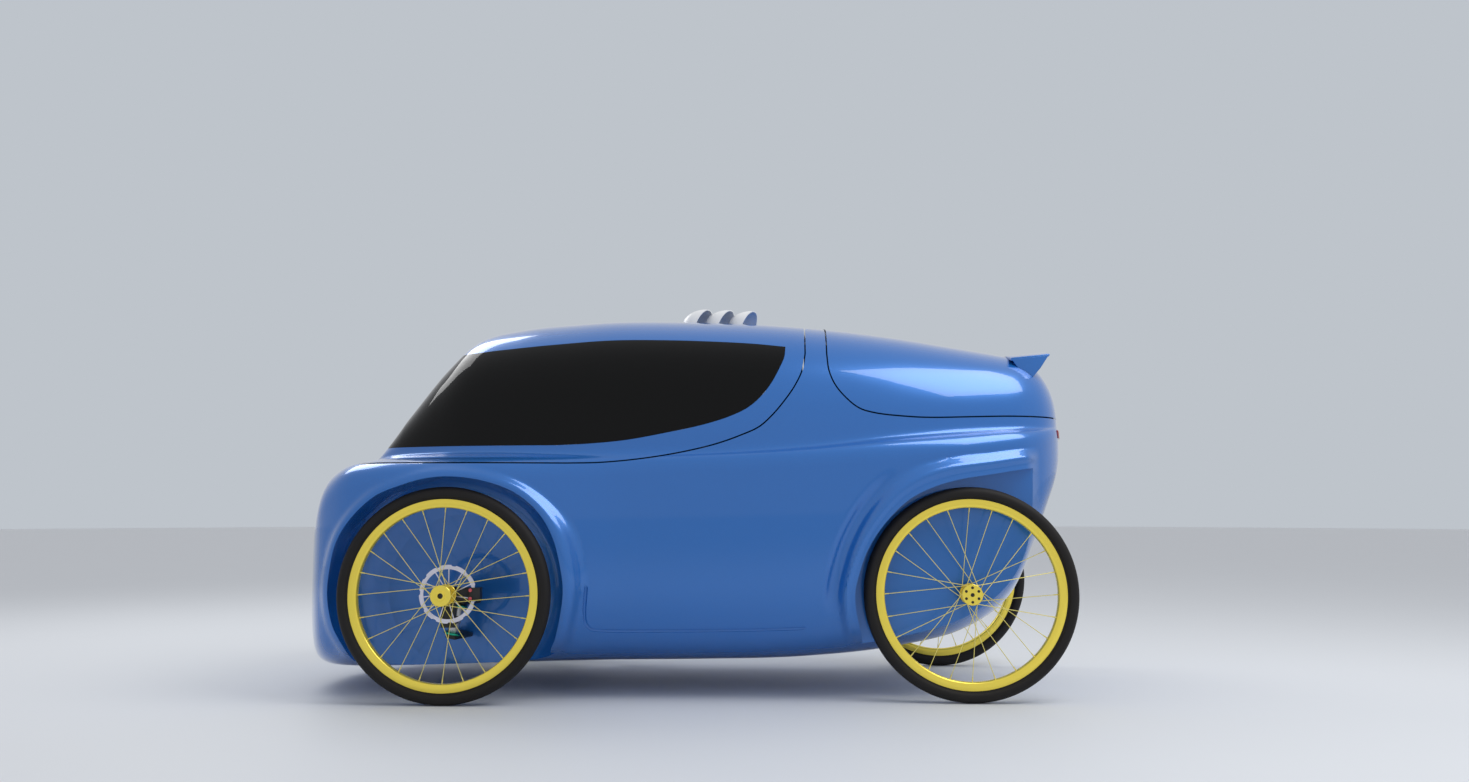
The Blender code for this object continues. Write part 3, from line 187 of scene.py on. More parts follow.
# Wheel arches, from the foot of one side to the other:
# degrees up from straight ahead, clearance outside the tyre, flare width, flare height
FRONT_ARCH = (
    (227.9, 0.102, 0.040, 0.012), (210.8, 0.024, 0.042, 0.020), (203.2, 0.025, 0.042, 0.026),
    (190.9, 0.025, 0.044, 0.032), (177.8, 0.030, 0.050, 0.036), (164.8, 0.033, 0.054, 0.038),
    (151.7, 0.041, 0.050, 0.034), (138.6, 0.046, 0.038, 0.026), (124.3, 0.044, 0.032, 0.019),
    (108.7, 0.034, 0.029, 0.016), (92.7, 0.028, 0.028, 0.014), (80.6, 0.026, 0.028, 0.013),
    (68.1, 0.026, 0.028, 0.012), (54.5, 0.034, 0.028, 0.012), (38.1, 0.037, 0.028, 0.012),
    (24.9, 0.040, 0.028, 0.012), (10.9, 0.036, 0.032, 0.012), (-0.3, 0.037, 0.032, 0.012),
    (-14.6, 0.037, 0.032, 0.010), (-27.5, 0.039, 0.030, 0.008), (-46.3, 0.112, 0.020, 0.000),
)
REAR_ARCH = (
    (-45.3, 0.119, 0.030, 0.006), (-24.3, 0.031, 0.040, 0.018), (-9.3, 0.025, 0.038, 0.022),
    (0.6, 0.025, 0.036, 0.024), (8.9, 0.020, 0.036, 0.024), (23.8, 0.015, 0.038, 0.024),
    (39.5, 0.012, 0.044, 0.024), (55.6, 0.015, 0.050, 0.024), (67.2, 0.016, 0.054, 0.024),
    (82.1, 0.020, 0.052, 0.024), (102.3, 0.044, 0.048, 0.024), (118.2, 0.100, 0.046, 0.024),
    (140.5, 0.290, 0.040, 0.000), (213.1, 0.244, 0.030, 0.000),
)
# Across a flare: share of its width out from the arch's edge, share of its height
FRONT_FLARE = ((-0.40, 0.70), (0.00, 0.92), (0.25, 1.00), (0.50, 0.86), (0.78, 0.38), (1.06, 0.00))
REAR_FLARE = ((-0.40, 0.70), (0.00, 0.84), (0.28, 0.78), (0.66, 1.00), (0.92, 0.60), (1.25, 0.00))
FLARE_FINENESS = 0.02
FLARE_TAIL_END = (-0.215, -0.165)
ARCH_REACH = 0.42
ARCH_BATCH = 4000

# Dent ahead of the rear arch: degrees where it starts and ends, depth, distance out, half width
DENT_START = -12.0
DENT_END = 62.0
DENT_FADE = 14.0
DENT_DEPTH = 0.012
DENT_OUT = 0.026
DENT_HALF_WIDTH = 0.030
DENT_BACKING_REACH = 0.085
DENT_BACKING_Y = TRACK_REAR / 2 - 0.022

# Inside of the front wheel wells: distance out from the inner wall, radius beyond the tyre
WELL_BOWL = ((0.000, -0.0785), (0.012, -0.0315), (0.030, -0.0015), (0.052, 0.0205), (0.076, 0.0345))
WELL_BOWL_DEPTH = 0.064
WELL_INNER_Y = TRACK_FRONT / 2 - 0.205
WELL_FACETS = 96
WELL_STEP = 0.006
TAIL_HALF_WIDTH = TRACK_REAR / 2 - 0.065

# Pressed groove in the side behind the front wheel, from the rear axle: x, z
DOOR_GROOVE = ((1.054, 0.320), (1.061, 0.240), (1.059, 0.212), (1.047, 0.196), (1.022, 0.191),
               (0.800, 0.190), (0.600, 0.193), (0.450, 0.198))
GROOVE_R = 0.0055
GROOVE_SINK = 0.0013
GROOVE_STEP = 0.012
GROOVE_ROUNDNESS = 3

# Hinges: half lengths and barrel radius
HINGE_R = 0.005
HINGE_SIDES = 48
CANOPY_HINGE_HALF = 0.050
LID_HINGE_HALF = 0.060

# Tyre and rim
WHEEL_STEPS = 144
RIM_R = 0.260
RIM_DEPTH = 0.024
RIM_WIDTH = 0.026
RIM_WELL = 0.0055
TYRE_WIDTH = 0.040
TYRE_BULGE = 0.002
TYRE_ARC_STEPS = 14
BEAD_R = RIM_R - RIM_WELL + GAP
BEAD_Y = RIM_WIDTH / 2 - 0.0018
RIM_FLOOR_R = RIM_R - RIM_WELL
RIM_INNER_R = RIM_R - RIM_DEPTH
# Tyre's foot: out from the bead, above the rim's edge
TYRE_FOOT = ((0.0, 0.0012), (0.0022, 0.0042), (0.0028, 0.0048), (0.0040, 0.0052))
# Tyre's wall: share of half its width, below its bulge
TYRE_WALL = ((0.955, 0.0075), (0.995, 0.0025))
# Rim's side from its well to its inner edge: in from its face, radius
RIM_SIDE = (
    (0.0022, RIM_FLOOR_R), (0.0016, RIM_FLOOR_R + 0.0010), (0.0016, RIM_R - 0.0006), (0.0010, RIM_R),
    (0.0005, RIM_R), (0.0, RIM_R - 0.0008), (0.0, RIM_INNER_R + 0.0050), (0.0008, RIM_INNER_R + 0.0032),
    (0.0022, RIM_INNER_R + 0.0016), (0.0045, RIM_INNER_R + 0.0005),
)

# Hubs and spokes
HUB_R = 0.012
HUB_FLANGE_R = 0.0285
HUB_FLANGE_Y = 0.024
HUB_FLANGE_T = 0.004
HUB_OUTER = 0.030
HUB_INNER = 0.042
HUB_CAP_DEPTH = 0.008
HUB_EDGE = 0.0008
HUB_SINK = 0.006
# Hub's middle: radius of its collar, radius of its hole, how far the collar stands out
HUB_MIDDLES = {"front": (0.0130, 0.0075, 0.0022), "rear": (0.0095, 0.0055, 0.0)}
CARRIER_R = 0.0205
CARRIER_T = 0.0035
AXLE_BORE_R = 0.0078
HUB_HOLES = 6
HUB_HOLE_R = 0.004
HUB_HOLE_PLACE_R = 0.0195
SPOKES = 24
SPOKE_R = 0.0010
SPOKE_GROUP = 4
SPOKE_PASS = 0.0016
SPOKE_SIDES = 8
SPOKE_HEAD_R = SPOKE_R * 1.5
SPOKE_HEAD_HALF = HUB_FLANGE_T * 0.6
NIPPLE_R = SPOKE_R * 1.7
NIPPLE_LENGTH = 0.013
SPOKE_SWEEP = math.radians(52)

# Brake discs
ROTOR_R = 0.080
ROTOR_RING = 0.012
ROTOR_T = 0.002
ROTOR_ARMS = 11
ROTOR_ARM_HALF = 0.0015
ROTOR_ARM_LEAN = math.radians(9)
ROTOR_LOBE_DROP = 0.003
ROTOR_CENTRE_R = 0.020
ROTOR_BOLTS = 6
ROTOR_BOLT_PLACE_R = 0.016
ROTOR_BOLT_PROUD = 0.001
ROTOR_BOLT_R = 0.0026
ROTOR_BOLT_SIDES = 12
ROTOR_EDGE = 0.0003
LOBE_STEPS = 12
LOBE_LOW_STEPS = 3

# Roof scoops: where each mouth lies ahead of the rear axle
SCOOP_MOUTHS = (0.758, 0.688, 0.615)
SCOOP_LENGTH = 0.075
SCOOP_HALF_WIDTH = 0.045
SCOOP_HEIGHT = 0.052
SCOOP_T = 0.003
SCOOP_TURN = math.radians(24)
SCOOP_FOOT_SPREAD = 0.18
SCOOP_TILT = math.radians(20)
SCOOP_RINGS = 32

# Spoiler on the tail lid, measured from the rear axle at its middle: x, z
SPOILER_TOP = ((-0.158, 0.992), (-0.272, 1.003), (-0.269, 0.995), (-0.158, 0.982))
SPOILER_PLATE = ((-0.160, 0.987), (-0.268, 0.999), (-0.244, 0.962), (-0.222, 0.936), (-0.200, 0.930))
SPOILER_HALF_WIDTH = 0.200
SPOILER_PLATE_T = 0.006
SPOILER_DROP = 0.022
SPOILER_STEPS = 32
SPOILER_EDGE = 0.002
SPOILER_PLATE_EDGE = 0.0015

# Knuckles and calipers
KINGPIN_TUBE_R = 0.0165
CALIPER_BOLT_R = 0.005
CALIPER_BOLT_PROUD = 0.003
CALIPER_BOLT_SHARES = (0.18, 0.82)
CALIPER_BOLT_EDGE = 0.0005
BOLT_SEAT = 0.002

# Seat, from the rear axle: x, z along its middle line
SEAT_LINE = (
    (1.020, 0.265), (0.950, 0.215), (0.820, 0.195), (0.710, 0.215), (0.640, 0.300),
    (0.550, 0.490), (0.480, 0.660), (0.440, 0.830),
)
SEAT_HALF_WIDTH = 0.170
SEAT_T = 0.022
SEAT_STEP = 0.006
SEAT_AROUND = 64
SEAT_CHANNEL_PITCH = 0.060
SEAT_CHANNEL_HALF = 0.008
SEAT_CHANNEL_DEPTH = 0.35
SEAT_END = 0.020
SEAT_END_T_SHARE = 0.06
SEAT_END_TAPER = 0.015
SEAT_EDGE_POWER = 0.5
SEAT_FACE_POWER = 0.75

# Tail lamp's lens: ribs stand 6 mm apart
LENS_RIB_PITCH = 0.006

# Studio
FLOOR_R = 30.0
FLOOR_SIDES = 96
WORLD_LIGHT = 0.85
# Soft boxes: name, place, the point each faces, width, height, watts
SOFT_BOXES = (
    ("tail_soft_box", (-2.3, 1.1, 3.3), (-1.2, 0.3, 0.8), 2.4, 2.0, 60),
    ("front_soft_box", (2.6, -1.6, 3.2), (0.4, 0.0, 0.6), 2.4, 1.6, 40),
)


def to_linear(hex_colour):
    """An sRGB hex colour as linear red, green, blue and alpha."""
    values = []
    for place in (1, 3, 5):
        value = int(hex_colour[place:place + 2], 16) / 255
        if value <= 0.04045:
            values.append(value / 12.92)
        else:
            values.append(((value + 0.055) / 1.055) ** 2.4)
    return (*values, 1.0)


def add_node(tree, kind, settings=None, links=None):
    """Adds a node, sets its named values and links its named inputs."""
    made = tree.nodes.new(kind)
    for name, value in (settings or {}).items():
        if name in made.inputs:
            made.inputs[name].default_value = value
        else:
            setattr(made, name, value)
    for name, source in (links or {}).items():
        tree.links.new(source, made.inputs[name])
    return made


def follow_pattern(tree, shader, kind, size, roughness=None, tones=None, relief=0.0,
                   stretch=(1.0, 1.0, 1.0), output="Fac", **settings):
    """Lays a texture of a real size in metres on the piece's own place, for its look to follow.

    Roughness runs between two values, colour between two hex tones, relief up to a depth in metres.
    """
    place = add_node(tree, "ShaderNodeTexCoord")
    mapping = add_node(tree, "ShaderNodeMapping", {"Scale": stretch}, {"Vector": place.outputs["Object"]})
    texture = add_node(tree, "ShaderNodeTex" + kind, {"Scale": 1.0 / size, **settings},
                       {"Vector": mapping.outputs["Vector"]})
    value = texture.outputs[output]
    if tones:
        mix = add_node(tree, "ShaderNodeMix", {"data_type": "RGBA"}, {"Factor": value})
        first, second = (socket for socket in mix.inputs if socket.type == "RGBA")
        first.default_value = to_linear(tones[0])
        second.default_value = to_linear(tones[1])
        mixed = next(socket for socket in mix.outputs if socket.type == "RGBA")
        tree.links.new(mixed, shader.inputs["Base Color"])
    if roughness:
        low, high = roughness
        spread = add_node(tree, "ShaderNodeMapRange", {"To Min": low, "To Max": high}, {"Value": value})
        tree.links.new(spread.outputs["Result"], shader.inputs["Roughness"])
    if relief:
        bump = add_node(tree, "ShaderNodeBump", {"Distance": relief, "Strength": 1.0}, {"Height": value})
        tree.links.new(bump.outputs["Normal"], shader.inputs["Normal"])


def new_finish(name, hex_colour, roughness, metallic=0.0, patterns=(), **constants):
    """A material with constant values on its shader, and the patterns that its look follows."""
    material = bpy.data.materials.new(name)
    material.use_nodes = True
    tree = material.node_tree
    shader = tree.nodes["Principled BSDF"]
    shader.inputs["Base Color"].default_value = to_linear(hex_colour)
    shader.inputs["Roughness"].default_value = roughness
    shader.inputs["Metallic"].default_value = metallic
    for socket, value in constants.items():
        shader.inputs[socket.replace("_", " ")].default_value = value
    for pattern in patterns:
        follow_pattern(tree, shader, **pattern)
    return material


FINISHES = {
    # Sprayed metallic car paint under clear lacquer: fine bright flakes and a smooth wet gloss.
    # Real flakes are 0.1 mm; here they are 1.2 mm, so that they show at all.
    "blue_paint": new_finish(
        "blue_metallic_paint", "#1B6CBF", 0.26, 0.35,
        [{"kind": "Noise", "size": 0.0012, "Detail": 1.0, "tones": ("#1765B6", "#1F74C8")},
         {"kind": "Noise", "size": 0.25, "roughness": (0.25, 0.28)}],
        Coat_Weight=1.0, Coat_Roughness=0.03),
    # Dark tinted acrylic glazing, polished on both faces: near black, with a trace of the cabin.
    # Its IOR is below acrylic's usual 1.49, because the real glazing mirrors so little.
    "dark_glass": new_finish(
        "tinted_glazing", "#101214", 0.02, 0.0,
        [{"kind": "Noise", "size": 0.12, "Detail": 3.0, "roughness": (0.01, 0.05)}],
        Transmission_Weight=1.0, IOR=1.3),
    # Machined aluminium, gold anodised: a clear yellow metal with fine turning marks.
    "gold_rim": new_finish(
        "gold_anodised_aluminium", "#FFE65C", 0.22, 0.6,
        [{"kind": "Noise", "size": 0.004, "Detail": 3.0, "roughness": (0.20, 0.26), "relief": 0.000004}]),
    # Drawn stainless wire, gold coated: slim, paler than the rims.
    "spoke_wire": new_finish(
        "gold_coated_spoke_wire", "#EFE07C", 0.30, 0.6,
        [{"kind": "Noise", "size": 0.002, "roughness": (0.22, 0.38)}]),
    # Moulded black rubber with a slick face: dull, brownish black, with a fine grain and dust.
    "tyre_rubber": new_finish(
        "moulded_tyre_rubber", "#1A1817", 0.62, 0.0,
        [{"kind": "Noise", "size": 0.0016, "Detail": 3.0, "roughness": (0.55, 0.75), "relief": 0.00012},
         {"kind": "Noise", "size": 0.06, "tones": ("#161413", "#1E1B1A")}],
        Specular_IOR_Level=0.3),
    # Extruded aluminium with a satin finish: grey metal with long faint draw lines.
    "silver_metal": new_finish(
        "satin_aluminium", "#C3C4C8", 0.34, 1.0,
        [{"kind": "Noise", "size": 0.003, "Detail": 3.0, "stretch": (0.15, 1.0, 1.0),
          "roughness": (0.26, 0.42), "relief": 0.00003}]),
    # Turned aluminium, green anodised: bright bluish green rings.
    "green_ring": new_finish(
        "green_anodised_aluminium", "#2FA588", 0.26, 1.0,
        [{"kind": "Noise", "size": 0.002, "roughness": (0.20, 0.32)}]),
    # Turned aluminium, red anodised: the calipers' bright bolts.
    "red_metal": new_finish(
        "red_anodised_aluminium", "#D9646A", 0.28, 1.0,
        [{"kind": "Noise", "size": 0.002, "roughness": (0.22, 0.34)}]),
    # Black powder coat baked on metal: soft gloss with a fine orange peel.
    "black_metal": new_finish(
        "black_powder_coat", "#1B1B1E", 0.42, 0.0,
        [{"kind": "Noise", "size": 0.0025, "roughness": (0.36, 0.50), "relief": 0.00010}]),
    # Ground and hardened disc steel: pale lavender grey, with fine grinding marks.
    "disc_steel": new_finish(
        "ground_disc_steel", "#E4E2F0", 0.36, 0.85,
        [{"kind": "Noise", "size": 0.0014, "Detail": 3.0, "roughness": (0.30, 0.46), "relief": 0.00004}]),
    # White moulded ABS with a polished face: soft gloss, faintly uneven.
    "white_plastic": new_finish(
        "white_moulded_plastic", "#E6E7E8", 0.28, 0.0,
        [{"kind": "Noise", "size": 0.03, "tones": ("#E2E3E4", "#EAEBEC"), "relief": 0.0002}],
        Coat_Weight=0.4, Coat_Roughness=0.08),
    # Moulded red acrylic lens over a white lamp: deep red gloss with faint ribs.
    "red_lens": new_finish(
        "red_acrylic_lens", "#8E0D10", 0.10, 0.0,
        [{"kind": "Wave", "size": LENS_RIB_PITCH * 20 / math.tau, "bands_direction": "Y",
          "relief": 0.0004}],
        Coat_Weight=1.0, Coat_Roughness=0.03),
    # Black knitted spacer mesh over foam: open weave, 3 mm from hole to hole, dull.
    "seat_foam": new_finish(
        "spacer_mesh_fabric", "#1D1E21", 0.85, 0.0,
        [{"kind": "Voronoi", "size": 0.003, "output": "Distance", "tones": ("#0C0C0E", "#2C2D31"),
          "relief": 0.0006}],
        Sheen_Weight=0.3),
    # Soft moulded grip rubber: black, dull, with a fine cross grain.
    "grip_rubber": new_finish(
        "soft_grip_rubber", "#161617", 0.8, 0.0,
        [{"kind": "Noise", "size": 0.0012, "relief": 0.0002}]),
}


def finish_frame_nodes():
    """Gives each carried-over solid the finish of its slot."""
    for entry in frame["record"]["subparts"]:
        node = frame["nodes"][entry["node"]]
        node.data.materials.clear()
        node.data.materials.append(FINISHES[entry["material_slot"]])


def linked(name, data):
    """A new object in the scene that holds the given data."""
    item = bpy.data.objects.new(name, data)
    bpy.context.collection.objects.link(item)
    return item


def mesh_object(name, vertices, faces):
    """Points and faces as an object."""
    mesh = bpy.data.meshes.new(name)
    mesh.from_pydata([tuple(vertex) for vertex in vertices], [], faces)
    mesh.update()
    return linked(name, mesh)


def select_only(item):
    """Selects one object and makes it active."""
    bpy.ops.object.select_all(action="DESELECT")
    item.hide_set(False)
    item.select_set(True)
    bpy.context.view_layer.objects.active = item


def edit_all(item):
    """Opens one object for editing, with everything in it selected."""
    select_only(item)
    bpy.ops.object.mode_set(mode="EDIT")
    bpy.ops.mesh.select_all(action="SELECT")


def settled(name):
    """Names the new primitive and puts its place into its mesh."""
    item = bpy.context.object
    item.name = name
    bpy.ops.object.transform_apply(location=True, rotation=True, scale=True)
    return item


def apply_modifier(item, kind, **settings):
    """Adds a modifier with its settings and applies it."""
    modifier = item.modifiers.new(kind.lower(), kind)
    for name, value in settings.items():
        setattr(modifier, name, value)
    select_only(item)
    bpy.ops.object.modifier_apply(modifier=modifier.name)


def face_out(item):
    """Turns every face of a closed shape outwards."""
    bm = bmesh.new()
    bm.from_mesh(item.data)
    bmesh.ops.recalc_face_normals(bm, faces=bm.faces)
    if bm.calc_volume(signed=True) < 0:
        bmesh.ops.reverse_faces(bm, faces=bm.faces)
    bm.to_mesh(item.data)
    bm.free()


def skin(name, rings):
    """A closed skin over rings of points, capped at both ends."""
    around = len(rings[0])
    vertices = [point for ring in rings for point in ring]
    faces = []
    for start in range(0, len(vertices) - around, around):
        for index in range(around):
            after = (index + 1) % around
            faces.append((start + index, start + after, start + around + after, start + around + index))
    faces.append(tuple(range(around)))
    faces.append(tuple(range(len(vertices) - 1, len(vertices) - around - 1, -1)))
    item = mesh_object(name, vertices, faces)
    face_out(item)
    return item


def smooth_line(points, step):
    """Points along a smooth curve through the given ones, no further apart than a step."""
    points = [Vector(point) for point in points]
    result = []
    last = len(points) - 1
    for index in range(last):
        before = points[max(index - 1, 0)]
        start = points[index]
        end = points[index + 1]
        after = points[min(index + 2, last)]
        gap_in = max((start - before).length, TINY) ** 0.5 if index else TINY
        gap = (end - start).length ** 0.5
        gap_out = (after - end).length ** 0.5 if index + 2 <= last else TINY
        slope_start = (end - start) / gap
        if index:
            slope_start += (start - before) / gap_in - (end - before) / (gap_in + gap)
        slope_end = (end - start) / gap
        if index + 2 <= last:
            slope_end += (after - end) / gap_out - (after - start) / (gap + gap_out)
        slope_start *= gap
        slope_end *= gap
        count = max(1, math.ceil((end - start).length / step))
        for part in range(count):
            t = part / count
            result.append((2 * t ** 3 - 3 * t ** 2 + 1) * start + (t ** 3 - 2 * t ** 2 + t) * slope_start
                          + (3 * t ** 2 - 2 * t ** 3) * end + (t ** 3 - t ** 2) * slope_end)
    result.append(points[last])
    return result


def measured_rows(table, axle_x, track):
    """Rows of a section table in metres, with x from the rear axle."""
    rows = []
    for x, floor, widest, shoulder, roof, hull, cabin, crown_power in table:
        rows.append((axle_x + x, floor, widest, shoulder, roof, hull * track / 2, cabin * track / 2,
                     crown_power))
    return rows


SECTIONS = measured_rows(REAR_SECTIONS, 0.0, TRACK_REAR)
SECTIONS += measured_rows(FRONT_SECTIONS, WHEELBASE, TRACK_FRONT)


def fine_rows(step):
    """The section rows carried on smoothly along the vehicle, no further apart than a step."""
    return [tuple(row) for row in smooth_line(SECTIONS, step)]


def spaced_rows(step):
    """The fine rows without those whose neighbours stand close enough without them."""
    rows = fine_rows(step)
    kept = [rows[0]]
    for row, after in zip(rows[1:], rows[2:]):
        if max(abs(a - b) for a, b in zip(after[:7], kept[-1][:7])) > step * ROW_SPREAD:
            kept.append(row)
    return kept + [rows[-1]]


def inset_row(row, inset):
    """A section row drawn in by an inset on every side."""
    x, floor, widest, shoulder, roof, hull, cabin, crown_power = row
    start = SECTIONS[0][0]
    end = SECTIONS[-1][0]
    middle = (start + end) / 2
    shrink = 1.0 - 2 * inset / (end - start)
    of_cabin, of_hull, of_rise = INSET_SHARES
    inset = min(inset, cabin * of_cabin, (widest - floor) * of_hull, (roof - shoulder) * of_rise)
    return (middle + (x - middle) * shrink, floor + inset, widest, shoulder - min(inset, shoulder - widest),
            roof - inset, hull - inset, cabin - inset, crown_power)


def quarter(power, steps):
    """Across and along shares of a quarter superellipse, from (1, 0) to (0, 1)."""
    angles = np.linspace(0.0, math.pi / 2, steps + 1)
    across = np.cos(angles).clip(0.0) ** (2 / power)
    along = np.sin(angles).clip(0.0) ** (2 / power)
    return across, along


def even_points(across, up, count, level_share=1.0):
    """Points spread evenly by length along a line; level stretches may count for less."""
    lengths = np.concatenate(([0.0], np.cumsum(np.hypot(level_share * np.diff(across), np.diff(up)))))
    marks = np.linspace(0.0, lengths[-1], count + 1)
    return np.interp(marks, lengths, across), np.interp(marks, lengths, up)


def fine_section(row, counts):
    """The half outline of the shell at one section, from the floor's middle to the roof's."""
    floor, widest, shoulder, roof, hull, cabin, crown_power = row[1:]
    across, down = quarter(LOWER_POWER, DENSE_STEPS)
    below = widest - (widest - floor) * down
    lower = even_points((hull * across)[::-1], below[::-1], counts[0], FLOOR_SHARE)
    across, up = quarter(crown_power, DENSE_STEPS)
    crown = even_points(cabin + (hull - cabin) * across, widest + (shoulder - widest) * up, counts[1])
    rise = min((roof - shoulder) / CABIN_RISE, 1.0)
    across, up = quarter(HOOD_POWER + (CABIN_POWER - HOOD_POWER) * rise, DENSE_STEPS)
    cabin_line = even_points(cabin * across, shoulder + (roof - shoulder) * up, counts[2])
    y = np.concatenate((lower[0], crown[0][1:], cabin_line[0][1:]))
    z = np.concatenate((lower[1], crown[1][1:], cabin_line[1][1:]))
    return y, z


def ease_shoulder(y, z, middle):
    """Rounds the hollow corner where the cabin rises from the shoulder."""
    low = max(middle - SHOULDER_REACH, 1)
    high = min(middle + SHOULDER_REACH, len(y) - 2)
    for line in (y, z):
        for _ in range(SHOULDER_PASSES):
            line[low:high] = (line[low - 1:high - 1] + 2 * line[low:high] + line[low + 1:high + 1]) / 4


def arch_line(axle_x, table):
    """A wheel arch's smooth outline with the flare's width and height beside each point."""
    points = []
    for degrees, clearance, width, height in table:
        angle = math.radians(degrees)
        reach = TYRE_R + clearance
        points.append((axle_x + reach * math.cos(angle), AXLE_Z + reach * math.sin(angle), width, height))
    return smooth_line(points, EDGE_STEP)


FRONT_ARCH_LINE = arch_line(WHEELBASE, FRONT_ARCH)
REAR_ARCH_LINE = arch_line(0.0, REAR_ARCH)


def smooth_share(values, low, high):
    """0 below low, 1 above high, and a smooth rise between."""
    share = ((values - low) / (high - low)).clip(0.0, 1.0)
    return share * share * (3 - 2 * share)


def arch_relief(x, z, axle_x, line, profile, is_rear):
    """How far the shell's side stands out round a wheel arch."""
    outline = np.array([tuple(point) for point in line])
    steps = np.diff(outline, axis=0)
    shape = np.array([tuple(point) for point in smooth_line(profile, FLARE_FINENESS)])
    relief = np.zeros(len(x))
    reach = np.hypot(x - axle_x, z - AXLE_Z)
    near = np.nonzero(reach < TYRE_R + ARCH_REACH)[0]
    along = np.arctan2(outline[:, 1] - AXLE_Z, outline[:, 0] - axle_x)
    edge_reach = np.hypot(outline[:, 0] - axle_x, outline[:, 1] - AXLE_Z)
    order = np.argsort(along)
    for start in range(0, len(near), ARCH_BATCH):
        part = near[start:start + ARCH_BATCH]
        distance = np.hypot(x[part, None] - outline[None, :, 0], z[part, None] - outline[None, :, 1])
        nearest = distance.argmin(axis=1)
        away = np.full(len(part), np.inf)
        width = np.zeros(len(part))
        height = np.zeros(len(part))
        for offset in (-1, 0):
            side = (nearest + offset).clip(0, len(steps) - 1)
            step = steps[side]
            beside_x = x[part] - outline[side, 0]
            beside_z = z[part] - outline[side, 1]
            share = (beside_x * step[:, 0] + beside_z * step[:, 1]) / (step[:, 0] ** 2 + step[:, 1] ** 2)
            share = share.clip(0.0, 1.0)
            gap = np.hypot(beside_x - share * step[:, 0], beside_z - share * step[:, 1])
            closer = gap < away
            away = np.where(closer, gap, away)
            width = np.where(closer, outline[side, 2] + share * step[:, 2], width)
            height = np.where(closer, outline[side, 3] + share * step[:, 3], height)
        angle = np.arctan2(z[part] - AXLE_Z, x[part] - axle_x)
        limit = np.interp(angle, along[order], edge_reach[order], period=math.tau)
        signed = np.where(reach[part] < limit, -away, away)
        flare = height * np.interp(signed / width, shape[:, 0], shape[:, 1])
        if is_rear:
            flare *= smooth_share(x[part], *FLARE_TAIL_END)
            degrees = np.degrees(angle)
            window = smooth_share(degrees, DENT_START, DENT_START + DENT_FADE)
            window *= 1.0 - smooth_share(degrees, DENT_END - 2 * DENT_FADE, DENT_END)
            offset = (signed - width - DENT_OUT) / DENT_HALF_WIDTH
            flare -= DENT_DEPTH * window * np.cos(math.pi / 2 * offset.clip(-1.0, 1.0)) ** 2
        relief[part] = flare
    return relief


def shell_form(name, counts, step, inset=0.0, relief=False):
    """The whole outer form as one closed skin."""
    sections = spaced_rows(step)
    lines = []
    for row in sections:
        drawn_in = inset_row(row, inset)
        y, z = fine_section(drawn_in, counts)
        if step == ROW_STEP:
            ease_shoulder(y, z, counts[0] + counts[1])
        lines.append((np.full(len(y), REAR_AXLE.x + drawn_in[0]), y, z))
    half = len(lines[0][0])
    x, y, z = (np.concatenate(values) for values in zip(*lines))
    if relief:
        widths = np.repeat([row[5] for row in sections], half)
        shoulders = np.repeat([row[3] for row in sections], half)
        side = smooth_share(y / widths, *RELIEF_SIDE) * (1.0 - smooth_share(z - shoulders, *RELIEF_TOP))
        from_axle = x - REAR_AXLE.x
        out = arch_relief(from_axle, z, WHEELBASE, FRONT_ARCH_LINE, FRONT_FLARE, False)
        out += arch_relief(from_axle, z, 0.0, REAR_ARCH_LINE, REAR_FLARE, True)
        y = y + side * out
    near_half = np.stack((x, y, z), axis=1).reshape(len(sections), half, 3)
    far_half = near_half[:, half - 2:0:-1] * (1.0, -1.0, 1.0)
    return skin(name, np.concatenate((near_half, far_half), axis=1))


def grow(points, distance):
    """A closed outline with each side moved outwards by a distance."""
    points = [Vector(point) for point in points]
    count = len(points)
    area = sum(points[i - 1].x * points[i].y - points[i].x * points[i - 1].y for i in range(count))
    turn = 1.0 if area > 0 else -1.0
    result = []
    for index in range(count):
        side_in = (points[index] - points[index - 1]).normalized()
        side_out = (points[(index + 1) % count] - points[index]).normalized()
        normal_in = Vector((side_in.y, -side_in.x)) * turn
        normal_out = Vector((side_out.y, -side_out.x)) * turn
        middle = (normal_in + normal_out).normalized()
        result.append(points[index] + middle * distance / max(middle.dot(normal_in), SHARPEST_MITRE))
    return result


def prism(name, points, y_low, y_high):
    """A side outline, measured from the rear axle, as a solid between two Y values."""
    return skin(name, [[(REAR_AXLE.x + x, y, z) for x, z in points] for y in (y_low, y_high)])


def cut(item, operation, cutters):
    """Booleans with closed shapes, one after another, applied."""
    for cutter in cutters:
        apply_modifier(item, "BOOLEAN", operation=operation, solver="MANIFOLD", object=cutter)
    item.data.materials.clear()


def remove(items):
    """Takes shapes that were only needed to make others out of the scene."""
    for item in items:
        bpy.data.objects.remove(item)


